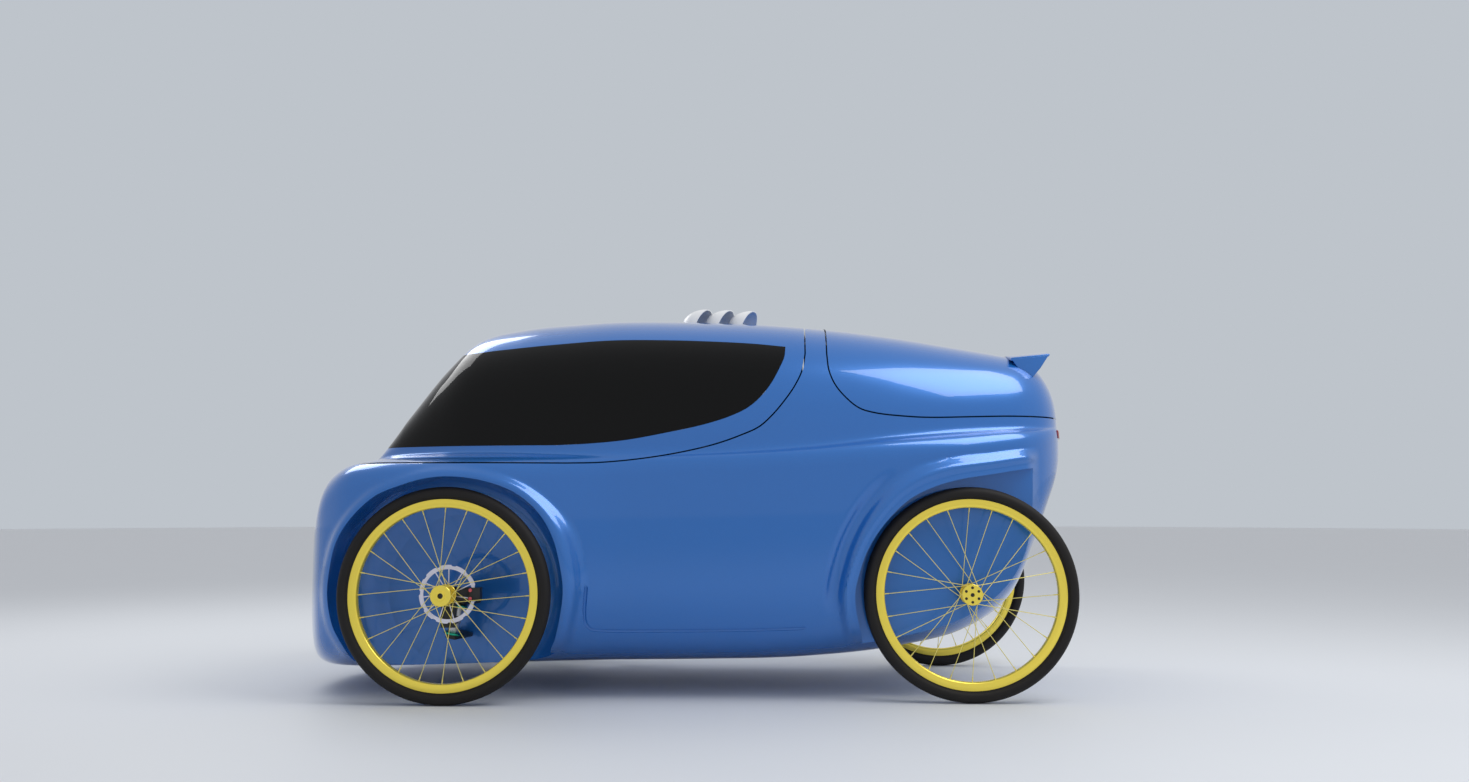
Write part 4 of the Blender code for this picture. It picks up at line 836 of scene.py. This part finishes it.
def turned(name, profile, steps, centre=(0.0, 0.0, 0.0)):
    """A profile of (along Y, radius) points spun about the Y axis."""
    bpy.ops.object.select_all(action="DESELECT")
    along, radius = profile[0]
    bpy.ops.mesh.primitive_plane_add(size=0.01, location=(radius, along, 0.0))
    item = settled(name)
    edit_all(item)
    bpy.ops.mesh.merge(type="CENTER")
    for (a0, r0), (a1, r1) in zip(profile, profile[1:]):
        bpy.ops.mesh.extrude_region_move(TRANSFORM_OT_translate={"value": (r1 - r0, a1 - a0, 0.0)})
    bpy.ops.mesh.select_all(action="SELECT")
    bpy.ops.mesh.spin(steps=steps, angle=math.tau, center=(0.0, 0.0, 0.0), axis=(0.0, 1.0, 0.0))
    bpy.ops.mesh.select_all(action="SELECT")
    bpy.ops.mesh.remove_doubles(threshold=MERGE_DISTANCE)
    bpy.ops.mesh.normals_make_consistent(inside=False)
    bpy.ops.object.mode_set(mode="OBJECT")
    item.data.transform(Matrix.Translation(centre))
    face_out(item)
    return item


def smooth_by_angle(item, degrees=SMOOTH_DEGREES):
    """Shades smooth across edges that turn by less than an angle."""
    select_only(item)
    bpy.ops.object.shade_smooth_by_angle(angle=math.radians(degrees))


def dress(item, body, slot, *nodes, finish=None):
    """Gives a piece its finish and body, and the solids it stands for."""
    if not item.data.materials:
        item.data.materials.append(FINISHES[finish or slot])
    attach(item, body)
    if nodes:
        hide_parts(*nodes)


def side_width(x, z):
    """Half the shell's width at a height below the shoulder."""
    floor, widest, shoulder, _, hull, cabin, crown_power = row_at(x)[1:]
    if z < widest:
        down = min((widest - z) / (widest - floor), 1.0)
        return hull * (1.0 - down ** LOWER_POWER) ** (1 / LOWER_POWER)
    up = min((z - widest) / (shoulder - widest), 1.0)
    return cabin + (hull - cabin) * (1.0 - up ** crown_power) ** (1 / crown_power)


def groove_cutter(name, out):
    """A bead along the pressed line in the shell's side."""
    points = smooth_line(DOOR_GROOVE, GROOVE_STEP)
    curve = bpy.data.curves.new(name, "CURVE")
    curve.dimensions = "3D"
    curve.bevel_depth = GROOVE_R
    curve.bevel_resolution = GROOVE_ROUNDNESS
    curve.use_fill_caps = True
    spline = curve.splines.new("POLY")
    last = len(points) - 1
    spline.points.add(last)
    for index, (x, z) in enumerate(points):
        lift = GROOVE_R + GROOVE_SINK if index in (0, last) else 0.0
        y = side_width(x, z) + GROOVE_SINK + lift
        spline.points[index].co = (REAR_AXLE.x + x, y * out, z, 1.0)
    select_only(linked(name, curve))
    bpy.ops.object.convert(target="MESH")
    bead = bpy.context.object
    edit_all(bead)
    bpy.ops.mesh.remove_doubles(threshold=MERGE_DISTANCE)
    bpy.ops.object.mode_set(mode="OBJECT")
    face_out(bead)
    return bead


def hinge_cutters():
    """Round cutters that make room for the two hinge barrels."""
    made = []
    for node, half in (("canopy_hinge", CANOPY_HINGE_HALF), ("tail_lid_hinge", LID_HINGE_HALF)):
        low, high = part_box(node)
        bpy.ops.object.select_all(action="DESELECT")
        bpy.ops.mesh.primitive_cylinder_add(vertices=HINGE_SIDES, radius=HINGE_R + GAP,
                                            depth=2 * (half + GAP), location=(low + high) / 2,
                                            rotation=(math.pi / 2, 0.0, 0.0))
        made.append(settled("hinge_space"))
    return made


def build_shell():
    """The painted shell, canopy, glazing and tail lid, cut from one smooth form."""
    canopy = [(CANOPY_EDGE[0][0], ROOF_CLEAR_Z)] + smooth_line(CANOPY_EDGE, EDGE_STEP)
    canopy += [(NOSE_CLEAR_X, CANOPY_SEAM_Z), (NOSE_CLEAR_X, ROOF_CLEAR_Z)]
    glass = [(NOSE_CLEAR_X, GLASS_FRONT_Z)] + smooth_line(GLASS_TOP_EDGE, EDGE_STEP)
    glass += smooth_line(GLASS_LOW_EDGE, EDGE_STEP)[1:] + [(NOSE_CLEAR_X, GLASS_FOOT_Z)]
    lid = [(LID_EDGE[-1][0], ROOF_CLEAR_Z), (TAIL_CLEAR_X, ROOF_CLEAR_Z)] + smooth_line(LID_EDGE, EDGE_STEP)
    side = SIDE_CLEAR_Y
    regions = {}
    openings = {}
    for name, outline, seam in (("canopy", canopy, SEAM), ("glass", glass, GLASS_GAP), ("lid", lid, SEAM)):
        regions[name] = prism(name + "_region", outline, -side, side)
        openings[name] = prism(name + "_opening", grow(outline, seam), -side, side)
    canopy_hinge, lid_hinge = hinge_cutters()

    void = shell_form("void", VOID_POINTS, VOID_STEP, WALL)
    cabin_void = shell_form("cabin_void", PANEL_POINTS, 2 * ROW_STEP, WALL)
    walls = []
    spaces = []
    bowl = smooth_line(WELL_BOWL, WELL_STEP)
    front_arch = [tuple(point[:2]) for point in FRONT_ARCH_LINE]
    rear_arch = [tuple(point[:2]) for point in REAR_ARCH_LINE]
    arches = (("front_arch", front_arch, WELL_INNER_Y + WELL_BOWL_DEPTH),
              ("rear_arch", rear_arch, TAIL_HALF_WIDTH))
    for out in (1, -1):
        for extra, store in ((WALL, walls), (0.0, spaces)):
            inner = WELL_INNER_Y - extra
            profile = [(inner, 0.0)] + [(inner + depth, TYRE_R + beyond + extra) for depth, beyond in bowl]
            profile.append((profile[-1][0], 0.0))
            profile = [(along * out, radius) for along, radius in profile]
            store.append(turned("bowl", profile, WELL_FACETS, (FRONT_AXLE.x, 0.0, AXLE_Z)))
            for name, outline, start in arches:
                low, high = sorted(((start - extra) * out, side * out))
                store.append(prism(name, grow(outline, extra), low, high))
        low, high = sorted((DENT_BACKING_Y * out, side * out))
        walls.append(prism("dent_backing", grow(rear_arch, DENT_BACKING_REACH), low, high))
        spaces.append(groove_cutter("groove", out))
    cut(void, "DIFFERENCE", walls)

    body = shell_form("painted_body_shell", BODY_POINTS, ROW_STEP, relief=True)
    cut(body, "DIFFERENCE", [void, openings["canopy"], openings["lid"], canopy_hinge, lid_hinge] + spaces)
    smooth_by_angle(body)
    dress(body, "body", "blue_paint", "body_shell")
    # Piece, the region it fills, what is cut from it, slot, body and the solid it stands for
    panels = (
        ("painted_canopy", "canopy", [cabin_void, openings["glass"], canopy_hinge], "blue_paint",
         "canopy", "canopy_shell"),
        ("canopy_glazing", "glass", [cabin_void], "dark_glass", "canopy", "canopy_glass"),
        ("painted_tail_lid", "lid", [cabin_void, lid_hinge], "blue_paint", "lid", "tail_lid"),
    )
    form = shell_form("panel_form", PANEL_POINTS, ROW_STEP)
    for name, region, cutters, slot, rides, node in panels:
        panel = copied(form, name)
        cut(panel, "INTERSECT", [regions[region]])
        cut(panel, "DIFFERENCE", cutters)
        smooth_by_angle(panel)
        dress(panel, rides, slot, node)
    fitting_form = shell_form("fitting_form", PANEL_POINTS, ROW_STEP, -GAP)
    build_scoops(fitting_form)
    build_spoiler(fitting_form)
    remove([form, fitting_form, void, cabin_void, canopy_hinge, lid_hinge, *regions.values(),
            *openings.values(), *walls, *spaces])


def rod(name, start, end, radius, sides=24, rounding=0.0):
    """A round bar between two points, with its ends' edges rounded."""
    start = Vector(start)
    end = Vector(end)
    along = end - start
    bpy.ops.object.select_all(action="DESELECT")
    bpy.ops.mesh.primitive_cylinder_add(vertices=sides, radius=radius, depth=along.length,
                                        location=(start + end) / 2,
                                        rotation=along.to_track_quat("Z", "Y").to_euler())
    item = settled(name)
    if rounding:
        round_edges(item, rounding)
    return item


def block(name, low, high, rounding):
    """A block between two corners, with all its edges rounded."""
    low = Vector(low)
    high = Vector(high)
    bpy.ops.object.select_all(action="DESELECT")
    bpy.ops.mesh.primitive_cube_add(size=1.0, location=(low + high) / 2, scale=high - low)
    item = settled(name)
    round_edges(item, rounding)
    return item


def round_edges(item, width, segments=3):
    """Rounds the edges that turn sharply."""
    apply_modifier(item, "BEVEL", width=width, segments=segments, limit_method="ANGLE",
                   angle_limit=SHARP_EDGE)


def join(name, items):
    """Several shapes as one piece."""
    bpy.ops.object.select_all(action="DESELECT")
    for item in items:
        item.select_set(True)
    bpy.context.view_layer.objects.active = items[0]
    bpy.ops.object.join()
    items[0].name = name
    return items[0]


def copied(item, name, place=None):
    """A copy with its own mesh, put at a place."""
    made = linked(name, item.data.copy())
    made.data.transform(place or Matrix.Identity(4))
    return made


def coat(item, finish):
    """Gives a shape one finish and no other."""
    item.data.materials.clear()
    item.data.materials.append(FINISHES[finish])
    return item


def softened(node, width, body, slot, finish=None):
    """A frame solid with its facets merged and its sharp edges rounded."""
    item = copied(frame["nodes"][node], "rounded_" + node)
    edit_all(item)
    bpy.ops.mesh.remove_doubles(threshold=MERGE_DISTANCE)
    bpy.ops.mesh.dissolve_limited(angle_limit=FLAT_FACETS)
    bpy.ops.object.mode_set(mode="OBJECT")
    round_edges(item, width, 2)
    coat(item, finish or slot)
    smooth_by_angle(item)
    dress(item, body, slot, node)


def build_tyre():
    """A slick tyre about the origin, with its beads inside the rim."""
    half = TYRE_WIDTH / 2
    bulge = (TYRE_R + BEAD_R) / 2 + TYRE_BULGE
    profile = [(-BEAD_Y, BEAD_R)]
    profile += [(-BEAD_Y - out, RIM_R + up) for out, up in TYRE_FOOT]
    profile += [(-half * share, bulge - down) for share, down in TYRE_WALL]
    for step in range(TYRE_ARC_STEPS + 1):
        angle = math.pi / 2 * step / TYRE_ARC_STEPS
        profile.append((-half * math.cos(angle), bulge + (TYRE_R - bulge) * math.sin(angle)))
    profile += [(-along, radius) for along, radius in reversed(profile[:-1])]
    profile.append(profile[0])
    tyre = coat(turned("tyre", profile, WHEEL_STEPS), "tyre_rubber")
    smooth_by_angle(tyre, 40)
    return tyre


def build_rim():
    """A deep box rim about the origin, hollow towards the tyre."""
    half = RIM_WIDTH / 2
    side = [(0.0, RIM_FLOOR_R)] + [(-half + depth, radius) for depth, radius in RIM_SIDE]
    side.append((0.0, RIM_INNER_R))
    profile = side + [(-along, radius) for along, radius in reversed(side[:-1])]
    return coat(turned("rim", profile, WHEEL_STEPS), "gold_rim")


def build_hub(end):
    """A hub about the origin: its flat disc towards +Y, its axle bore open towards -Y."""
    middle_r, hole_r, rise = HUB_MIDDLES[end]
    disc = HUB_FLANGE_R
    outer = HUB_OUTER
    foot = HUB_FLANGE_T
    near = HUB_FLANGE_Y - HUB_FLANGE_T / 2
    far = HUB_FLANGE_Y + HUB_FLANGE_T / 2
    bore_end = outer - HUB_CAP_DEPTH
    profile = [(bore_end, 0.0), (bore_end, AXLE_BORE_R), (-HUB_INNER, AXLE_BORE_R)]
    if end == "front":
        carrier_end = CARRIER_T - HUB_INNER
        profile += [(-HUB_INNER, CARRIER_R), (carrier_end, CARRIER_R), (carrier_end, HUB_R)]
    else:
        profile.append((-HUB_INNER, HUB_R))
    profile += [(-far - foot, HUB_R), (-far, HUB_R + foot / 2), (-far, disc - HUB_EDGE),
                (HUB_EDGE - far, disc), (-near - HUB_EDGE, disc), (-near, disc - HUB_EDGE),
                (-near, HUB_R + foot / 2), (foot - near, HUB_R), (near - foot, HUB_R),
                (near, HUB_R + foot / 2), (near, disc - HUB_EDGE), (near + HUB_EDGE, disc),
                (outer - HUB_EDGE, disc), (outer, disc - HUB_EDGE), (outer, middle_r),
                (outer + rise, middle_r - rise / 4), (outer + rise, hole_r),
                (outer - HUB_SINK, hole_r), (outer - HUB_SINK, 0.0)]
    hub = turned("hub", profile, ROUND_STEPS)
    hole_shade_discs = []
    if end == "rear":
        holes = []
        for index in range(HUB_HOLES):
            angle = math.pi / 2 + math.tau * index / HUB_HOLES
            x = HUB_HOLE_PLACE_R * math.cos(angle)
            z = HUB_HOLE_PLACE_R * math.sin(angle)
            holes.append(rod("hole", (x, outer - HUB_SINK / 2, z), (x, outer + HUB_SINK, z), HUB_HOLE_R))
            # A black disc at the foot of each hole is painted shade, standing for the dark deep in the hole
            hole_shade_discs.append(rod("painted_hole_shade_disc", (x, outer - HUB_SINK / 2 + GAP, z),
                              (x, outer - HUB_SINK / 4, z), HUB_HOLE_R - GAP))
        cut(hub, "DIFFERENCE", holes)
        remove(holes)
    coat(hub, "gold_rim")
    # A black disc at the foot of the middle hole is painted shade, standing for the dark deep in the bore
    painted_bore_shade_disc = rod("painted_bore_shade_disc", (0.0, outer - HUB_SINK + GAP, 0.0), (0.0, outer - HUB_SINK / 2, 0.0), hole_r - GAP)
    return [hub] + [coat(part, "black_metal") for part in [painted_bore_shade_disc] + hole_shade_discs]


def build_spokes():
    """Crossed spokes about the origin, with heads and nipples: one group made, then copied round."""
    made = []
    rim_reach = RIM_INNER_R + SPOKE_R
    flange_reach = HUB_FLANGE_R - 2 * SPOKE_R
    for index in range(SPOKE_GROUP):
        side = 1 if index % 2 else -1
        lean = 1 if index < SPOKE_GROUP / 2 else -1
        outer = math.tau * index / SPOKES
        inner = outer + lean * SPOKE_SWEEP
        start = Vector((flange_reach * math.cos(inner), side * HUB_FLANGE_Y + lean * SPOKE_PASS,
                        flange_reach * math.sin(inner)))
        end = Vector((rim_reach * math.cos(outer), side * 2 * SPOKE_PASS + lean * SPOKE_PASS,
                      rim_reach * math.sin(outer)))
        along = (end - start).normalized()
        across = Vector((0.0, lean * SPOKE_HEAD_HALF, 0.0))
        made.append(rod("spoke", start, end, SPOKE_R, SPOKE_SIDES))
        made.append(rod("spoke_head", start - across, start + across, SPOKE_HEAD_R, SPOKE_SIDES))
        made.append(rod("nipple", end - along * NIPPLE_LENGTH, end, NIPPLE_R, SPOKE_SIDES))
    group = coat(join("spoke_group", made), "spoke_wire")
    turns = [Matrix.Rotation(math.tau * step * SPOKE_GROUP / SPOKES, 4, "Y")
             for step in range(SPOKES // SPOKE_GROUP)]
    spokes = join("spokes", [copied(group, "spokes", turn) for turn in turns])
    remove([group])
    return spokes


def build_rotor():
    """A brake disc about the origin: a lobed ring, leaning arms and a bolted centre."""
    vertices = []
    count = ROTOR_ARMS * LOBE_STEPS
    for step in range(count):
        angle = math.tau * step / count
        outer = ROTOR_R - ROTOR_LOBE_DROP * (step % LOBE_STEPS < LOBE_LOW_STEPS)
        for radius in (outer, ROTOR_R - ROTOR_RING):
            vertices.append((radius * math.cos(angle), 0.0, radius * math.sin(angle)))
    faces = []
    for step in range(count):
        after = (step + 1) % count
        faces.append((2 * step, 2 * after, 2 * after + 1, 2 * step + 1))
    ring = mesh_object("rotor_ring", vertices, faces)
    apply_modifier(ring, "SOLIDIFY", thickness=ROTOR_T, offset=0.0)
    face_out(ring)
    parts = [ring]
    half = ROTOR_T / 2 - GAP / 3
    foot = ROTOR_CENTRE_R - 2 * ROTOR_ARM_HALF
    arm = block("rotor_arm", (0.0, -half, -ROTOR_ARM_HALF),
                (ROTOR_R - ROTOR_RING / 2 - foot, half, ROTOR_ARM_HALF), ROTOR_EDGE)
    arm.data.transform(Matrix.Translation((foot, 0.0, 0.0)) @ Matrix.Rotation(ROTOR_ARM_LEAN, 4, "Y"))
    for index in range(ROTOR_ARMS):
        parts.append(copied(arm, "rotor_arm", Matrix.Rotation(math.tau * index / ROTOR_ARMS, 4, "Y")))
    centre = [(-half, AXLE_BORE_R), (-half, ROTOR_CENTRE_R), (half, ROTOR_CENTRE_R), (half, AXLE_BORE_R),
              (-half, AXLE_BORE_R)]
    parts.append(turned("rotor_centre", centre, ROUND_STEPS))
    bolt = rod("rotor_bolt", (ROTOR_BOLT_PLACE_R, -half - ROTOR_BOLT_PROUD, 0.0),
               (ROTOR_BOLT_PLACE_R, 0.0, 0.0), ROTOR_BOLT_R, ROTOR_BOLT_SIDES, ROTOR_EDGE)
    for index in range(ROTOR_BOLTS):
        parts.append(copied(bolt, "rotor_bolt", Matrix.Rotation(math.tau * index / ROTOR_BOLTS, 4, "Y")))
    remove([arm, bolt])
    return coat(join("rotor", parts), "disc_steel")


def build_wheels():
    """Tyres, spoked wheels and front brake discs, each made once and copied to its corner."""
    tyre = build_tyre()
    rim = build_rim()
    spokes = build_spokes()
    hubs = {end: join(end + "_hub", build_hub(end)) for end in ("front", "rear")}
    rotor = build_rotor()
    smooth_by_angle(rotor, 30)
    for end, axle in (("front", FRONT_AXLE), ("rear", REAR_AXLE)):
        for side, out in (("left", 1), ("right", -1)):
            corner = end + "_" + side
            body = corner + "_wheel"
            place = Matrix.Translation((axle.x, axle.y * out, AXLE_Z))
            turn = Matrix.Identity(4) if out > 0 else Matrix.Rotation(math.pi, 4, "Z")
            dress(copied(tyre, "slick_tyre_" + corner, place), body, "tyre_rubber", "tyre_" + corner)
            parts = [copied(rim, "rim", place), copied(spokes, "spokes", place),
                     copied(hubs[end], "hub", place @ turn)]
            wheel = join("spoked_wheel_" + corner, parts)
            smooth_by_angle(wheel)
            dress(wheel, body, "gold_rim", "wheel_" + corner)
            if end == "front":
                low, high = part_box("brake_disc_" + corner)
                inboard = axle.y - abs((low.y + high.y) / 2)
                inward = Matrix.Translation((0.0, -inboard, 0.0))
                disc = copied(rotor, "lobed_disc_" + corner, place @ turn @ inward)
                dress(disc, body, "disc_steel", "brake_disc_" + corner)
    remove([tyre, rim, spokes, rotor] + list(hubs.values()))


def row_at(x):
    """The section row at a distance from the rear axle."""
    rows = fine_rows(LOOKUP_STEP)
    for before, after in zip(rows, rows[1:]):
        if before[0] <= x <= after[0]:
            share = (x - before[0]) / (after[0] - before[0])
            return [a + (b - a) * share for a, b in zip(before, after)]
    raise ValueError(x)


def build_scoops(form):
    """Three thin hoods on the roof with slanted mouths towards the tail."""
    turn = Matrix.Rotation(-SCOOP_TURN, 3, "Z")
    facing = turn @ Vector((math.cos(SCOOP_TILT), 0.0, math.sin(SCOOP_TILT)))
    for index, mouth in enumerate(SCOOP_MOUTHS, start=1):
        base = Vector((REAR_AXLE.x + mouth, 0.0, row_at(mouth)[4]))
        bpy.ops.object.select_all(action="DESELECT")
        bpy.ops.mesh.primitive_uv_sphere_add(segments=ROUND_STEPS, ring_count=SCOOP_RINGS, radius=1.0,
                                             location=base,
                                             scale=(SCOOP_LENGTH, SCOOP_HALF_WIDTH, SCOOP_HEIGHT))
        scoop = settled(f"hooded_scoop_{index}")
        edit_all(scoop)
        bpy.ops.mesh.bisect(plane_co=base + Vector((0.0, 0.0, SCOOP_HEIGHT / 2)), plane_no=facing,
                            clear_inner=True)
        bpy.ops.object.mode_set(mode="OBJECT")
        for vertex in scoop.data.vertices:
            lift = max(vertex.co.z - base.z, 0.0) / SCOOP_HEIGHT
            vertex.co.y *= 1.0 + SCOOP_FOOT_SPREAD * (1.0 - lift) ** 3
        apply_modifier(scoop, "SOLIDIFY", thickness=SCOOP_T, offset=-1.0)
        face_out(scoop)
        cut(scoop, "DIFFERENCE", [form])
        smooth_by_angle(scoop)
        dress(scoop, "canopy", "white_plastic", f"roof_scoop_{index}")


def build_spoiler(form):
    """An arched plate on the tail lid, with an upright plate at each end."""
    rings = []
    for step in range(SPOILER_STEPS + 1):
        share = 2 * step / SPOILER_STEPS - 1
        rings.append([(REAR_AXLE.x + x, SPOILER_HALF_WIDTH * share, z - SPOILER_DROP * share ** 2)
                      for x, z in SPOILER_TOP])
    spoiler = skin("arched_spoiler", rings)
    round_edges(spoiler, SPOILER_EDGE)
    outline = [(x, z - SPOILER_DROP) for x, z in SPOILER_PLATE]
    plates = []
    for out in (1, -1):
        low, high = sorted(((SPOILER_HALF_WIDTH - SPOILER_PLATE_T) * out, (SPOILER_HALF_WIDTH + GAP) * out))
        plate = prism("end_plate", outline, low, high)
        round_edges(plate, SPOILER_PLATE_EDGE)
        plates.append(plate)
    cut(spoiler, "UNION", plates)
    cut(spoiler, "DIFFERENCE", [form])
    remove(plates)
    smooth_by_angle(spoiler)
    dress(spoiler, "lid", "blue_paint", "spoiler")


def build_seat():
    """A padded sling of mesh cloth, crowned between sewn channels and thin at its edges."""
    line = smooth_line(SEAT_LINE, SEAT_STEP)
    lengths = [0.0]
    for before, after in zip(line, line[1:]):
        lengths.append(lengths[-1] + (after - before).length)
    rings = []
    for index, point in enumerate(line):
        along = (line[min(index + 1, len(line) - 1)] - line[max(index - 1, 0)]).normalized()
        from_end = min(lengths[index], lengths[-1] - lengths[index])
        end_share = min(from_end / SEAT_END, 1.0)
        puff = max(math.sqrt(1.0 - (1.0 - end_share) ** 2), SEAT_END_T_SHARE)
        beside = (lengths[index] + SEAT_CHANNEL_PITCH / 2) % SEAT_CHANNEL_PITCH - SEAT_CHANNEL_PITCH / 2
        puff *= 1.0 - SEAT_CHANNEL_DEPTH * math.exp(-(beside / SEAT_CHANNEL_HALF) ** 2)
        width = SEAT_HALF_WIDTH - SEAT_END_TAPER * (1.0 - end_share) ** 2
        ring = []
        for step in range(SEAT_AROUND):
            cosine = math.cos(math.tau * step / SEAT_AROUND)
            sine = math.sin(math.tau * step / SEAT_AROUND)
            across = math.copysign(abs(cosine) ** SEAT_EDGE_POWER, cosine)
            up = math.copysign(abs(sine) ** SEAT_FACE_POWER, sine) * SEAT_T / 2 * puff
            ring.append((REAR_AXLE.x + point.x - along.y * up, width * across, point.y + along.x * up))
        rings.append(ring)
    seat = skin("padded_seat", rings)
    smooth_by_angle(seat, 60)
    dress(seat, "body", "seat_foam", "seat")


def build_small_parts():
    """The frame's metal pieces with softened edges."""
    # Solid, width of its rounded edges, body, slot
    parts = [("main_beam", 0.004, "body", "silver_metal"), ("pedal_mast", 0.003, "body", "black_metal"),
             ("crankset", 0.003, "cranks", "black_metal"), ("bulkhead", 0.001, "body", "black_metal"),
             ("nose_lamp", 0.001, "body", "dark_glass"), ("tail_lamp", 0.001, "body", "red_lens"),
             ("canopy_hinge", 0.001, "body", "black_metal"),
             ("tail_lid_hinge", 0.001, "body", "black_metal")]
    for side in ("left", "right"):
        parts += [("pedal_" + side, 0.004, "cranks", "black_metal"),
                  ("seat_rail_" + side, 0.002, "body", "silver_metal"),
                  ("steering_lever_" + side, 0.001, "body", "silver_metal"),
                  ("lower_arm_" + side, 0.002, "body", "black_metal"),
                  ("upper_arm_" + side, 0.002, "body", "black_metal"),
                  ("headset_ring_lower_" + side, 0.001, "body", "green_ring"),
                  ("headset_ring_upper_" + side, 0.001, "body", "green_ring"),
                  ("rear_axle_" + side, 0.001, "body", "black_metal"),
                  ("knuckle_" + side, 0.0015, "knuckle_" + side + "_body", "silver_metal"),
                  ("brake_caliper_" + side, 0.0025, "knuckle_" + side + "_body", "black_metal")]
        softened("lever_grip_" + side, 0.003, "body", "black_metal", "grip_rubber")
    for node, width, body, slot in parts:
        softened(node, width, body, slot)


def darken_knuckles():
    """Leaves the kingpin tubes bright and coats the rest of each knuckle black."""
    for joint in frame["joints"]:
        if not joint["name"].startswith("steer_"):
            continue
        side = joint["name"].removeprefix("steer_")
        knuckle = bpy.data.objects["rounded_knuckle_" + side]
        knuckle.data.materials.append(FINISHES["black_metal"])
        origin = Vector(joint["pos_m"])
        axis = Vector(joint["axis"]).normalized()
        for face in knuckle.data.polygons:
            beside = face.center - origin
            face.material_index = int((beside - axis * beside.dot(axis)).length > KINGPIN_TUBE_R)


def build_caliper_bolts():
    """Two red bolts on the outer face of each brake caliper."""
    for side, out in (("left", 1), ("right", -1)):
        low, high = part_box("brake_caliper_" + side)
        face_y = high.y if out > 0 else low.y
        bolts = []
        for share in CALIPER_BOLT_SHARES:
            x = high.x - CALIPER_BOLT_R - BOLT_SEAT
            z = low.z + (high.z - low.z) * share
            bolts.append(rod("caliper_bolt", (x, face_y - BOLT_SEAT * out, z),
                             (x, face_y + CALIPER_BOLT_PROUD * out, z), CALIPER_BOLT_R,
                             rounding=CALIPER_BOLT_EDGE))
        pair = coat(join("caliper_bolts_" + side, bolts), "red_metal")
        smooth_by_angle(pair)
        dress(pair, "knuckle_" + side + "_body", "black_metal")


def area_light(name, place, target, width, height, power):
    """A soft box that faces a point."""
    data = bpy.data.lights.new(name, "AREA")
    data.shape = "RECTANGLE"
    data.size = width
    data.size_y = height
    data.energy = power
    lamp = linked(name, data)
    lamp.location = place
    lamp.rotation_euler = (Vector(target) - Vector(place)).to_track_quat("-Z", "Y").to_euler()


def build_studio():
    """A pale floor and surroundings, soft lights and the camera."""
    bpy.ops.object.select_all(action="DESELECT")
    bpy.ops.mesh.primitive_circle_add(vertices=FLOOR_SIDES, radius=FLOOR_R, fill_type="NGON")
    floor = settled("studio_floor")
    grain = {"kind": "Noise", "size": 0.4, "roughness": (0.55, 0.65)}
    floor.data.materials.append(new_finish("pale_studio_floor", "#DADDE1", 0.6, patterns=[grain]))

    world = bpy.data.worlds.new("soft_studio")
    bpy.context.scene.world = world
    world.use_nodes = True
    tree = world.node_tree
    background = tree.nodes["Background"]
    background.inputs["Color"].default_value = to_linear("#DCDEE2")
    background.inputs["Strength"].default_value = WORLD_LIGHT
    seen = add_node(tree, "ShaderNodeBackground", {"Color": to_linear("#BEC4CB"), "Strength": 1.0})
    path = add_node(tree, "ShaderNodeLightPath")
    either = add_node(tree, "ShaderNodeMixShader")
    tree.links.new(path.outputs["Is Camera Ray"], either.inputs["Fac"])
    tree.links.new(background.outputs["Background"], either.inputs[1])
    tree.links.new(seen.outputs["Background"], either.inputs[2])
    tree.links.new(either.outputs["Shader"], tree.nodes["World Output"].inputs["Surface"])

    for soft_box in SOFT_BOXES:
        area_light(*soft_box)

    data = bpy.data.cameras.new("camera")
    data.sensor_width = CAMERA_SENSOR
    data.sensor_fit = "HORIZONTAL"
    data.lens = CAMERA_LENS
    camera = linked("camera", data)
    camera.location = CAMERA_PLACE
    camera.rotation_euler = (CAMERA_TILT, 0.0, CAMERA_TURN)
    bpy.context.scene.camera = camera
    bpy.context.scene.view_settings.view_transform = "Standard"


build_studio()
finish_frame_nodes()
build_shell()
build_wheels()
build_seat()
build_small_parts()
darken_knuckles()
build_caliper_bolts()
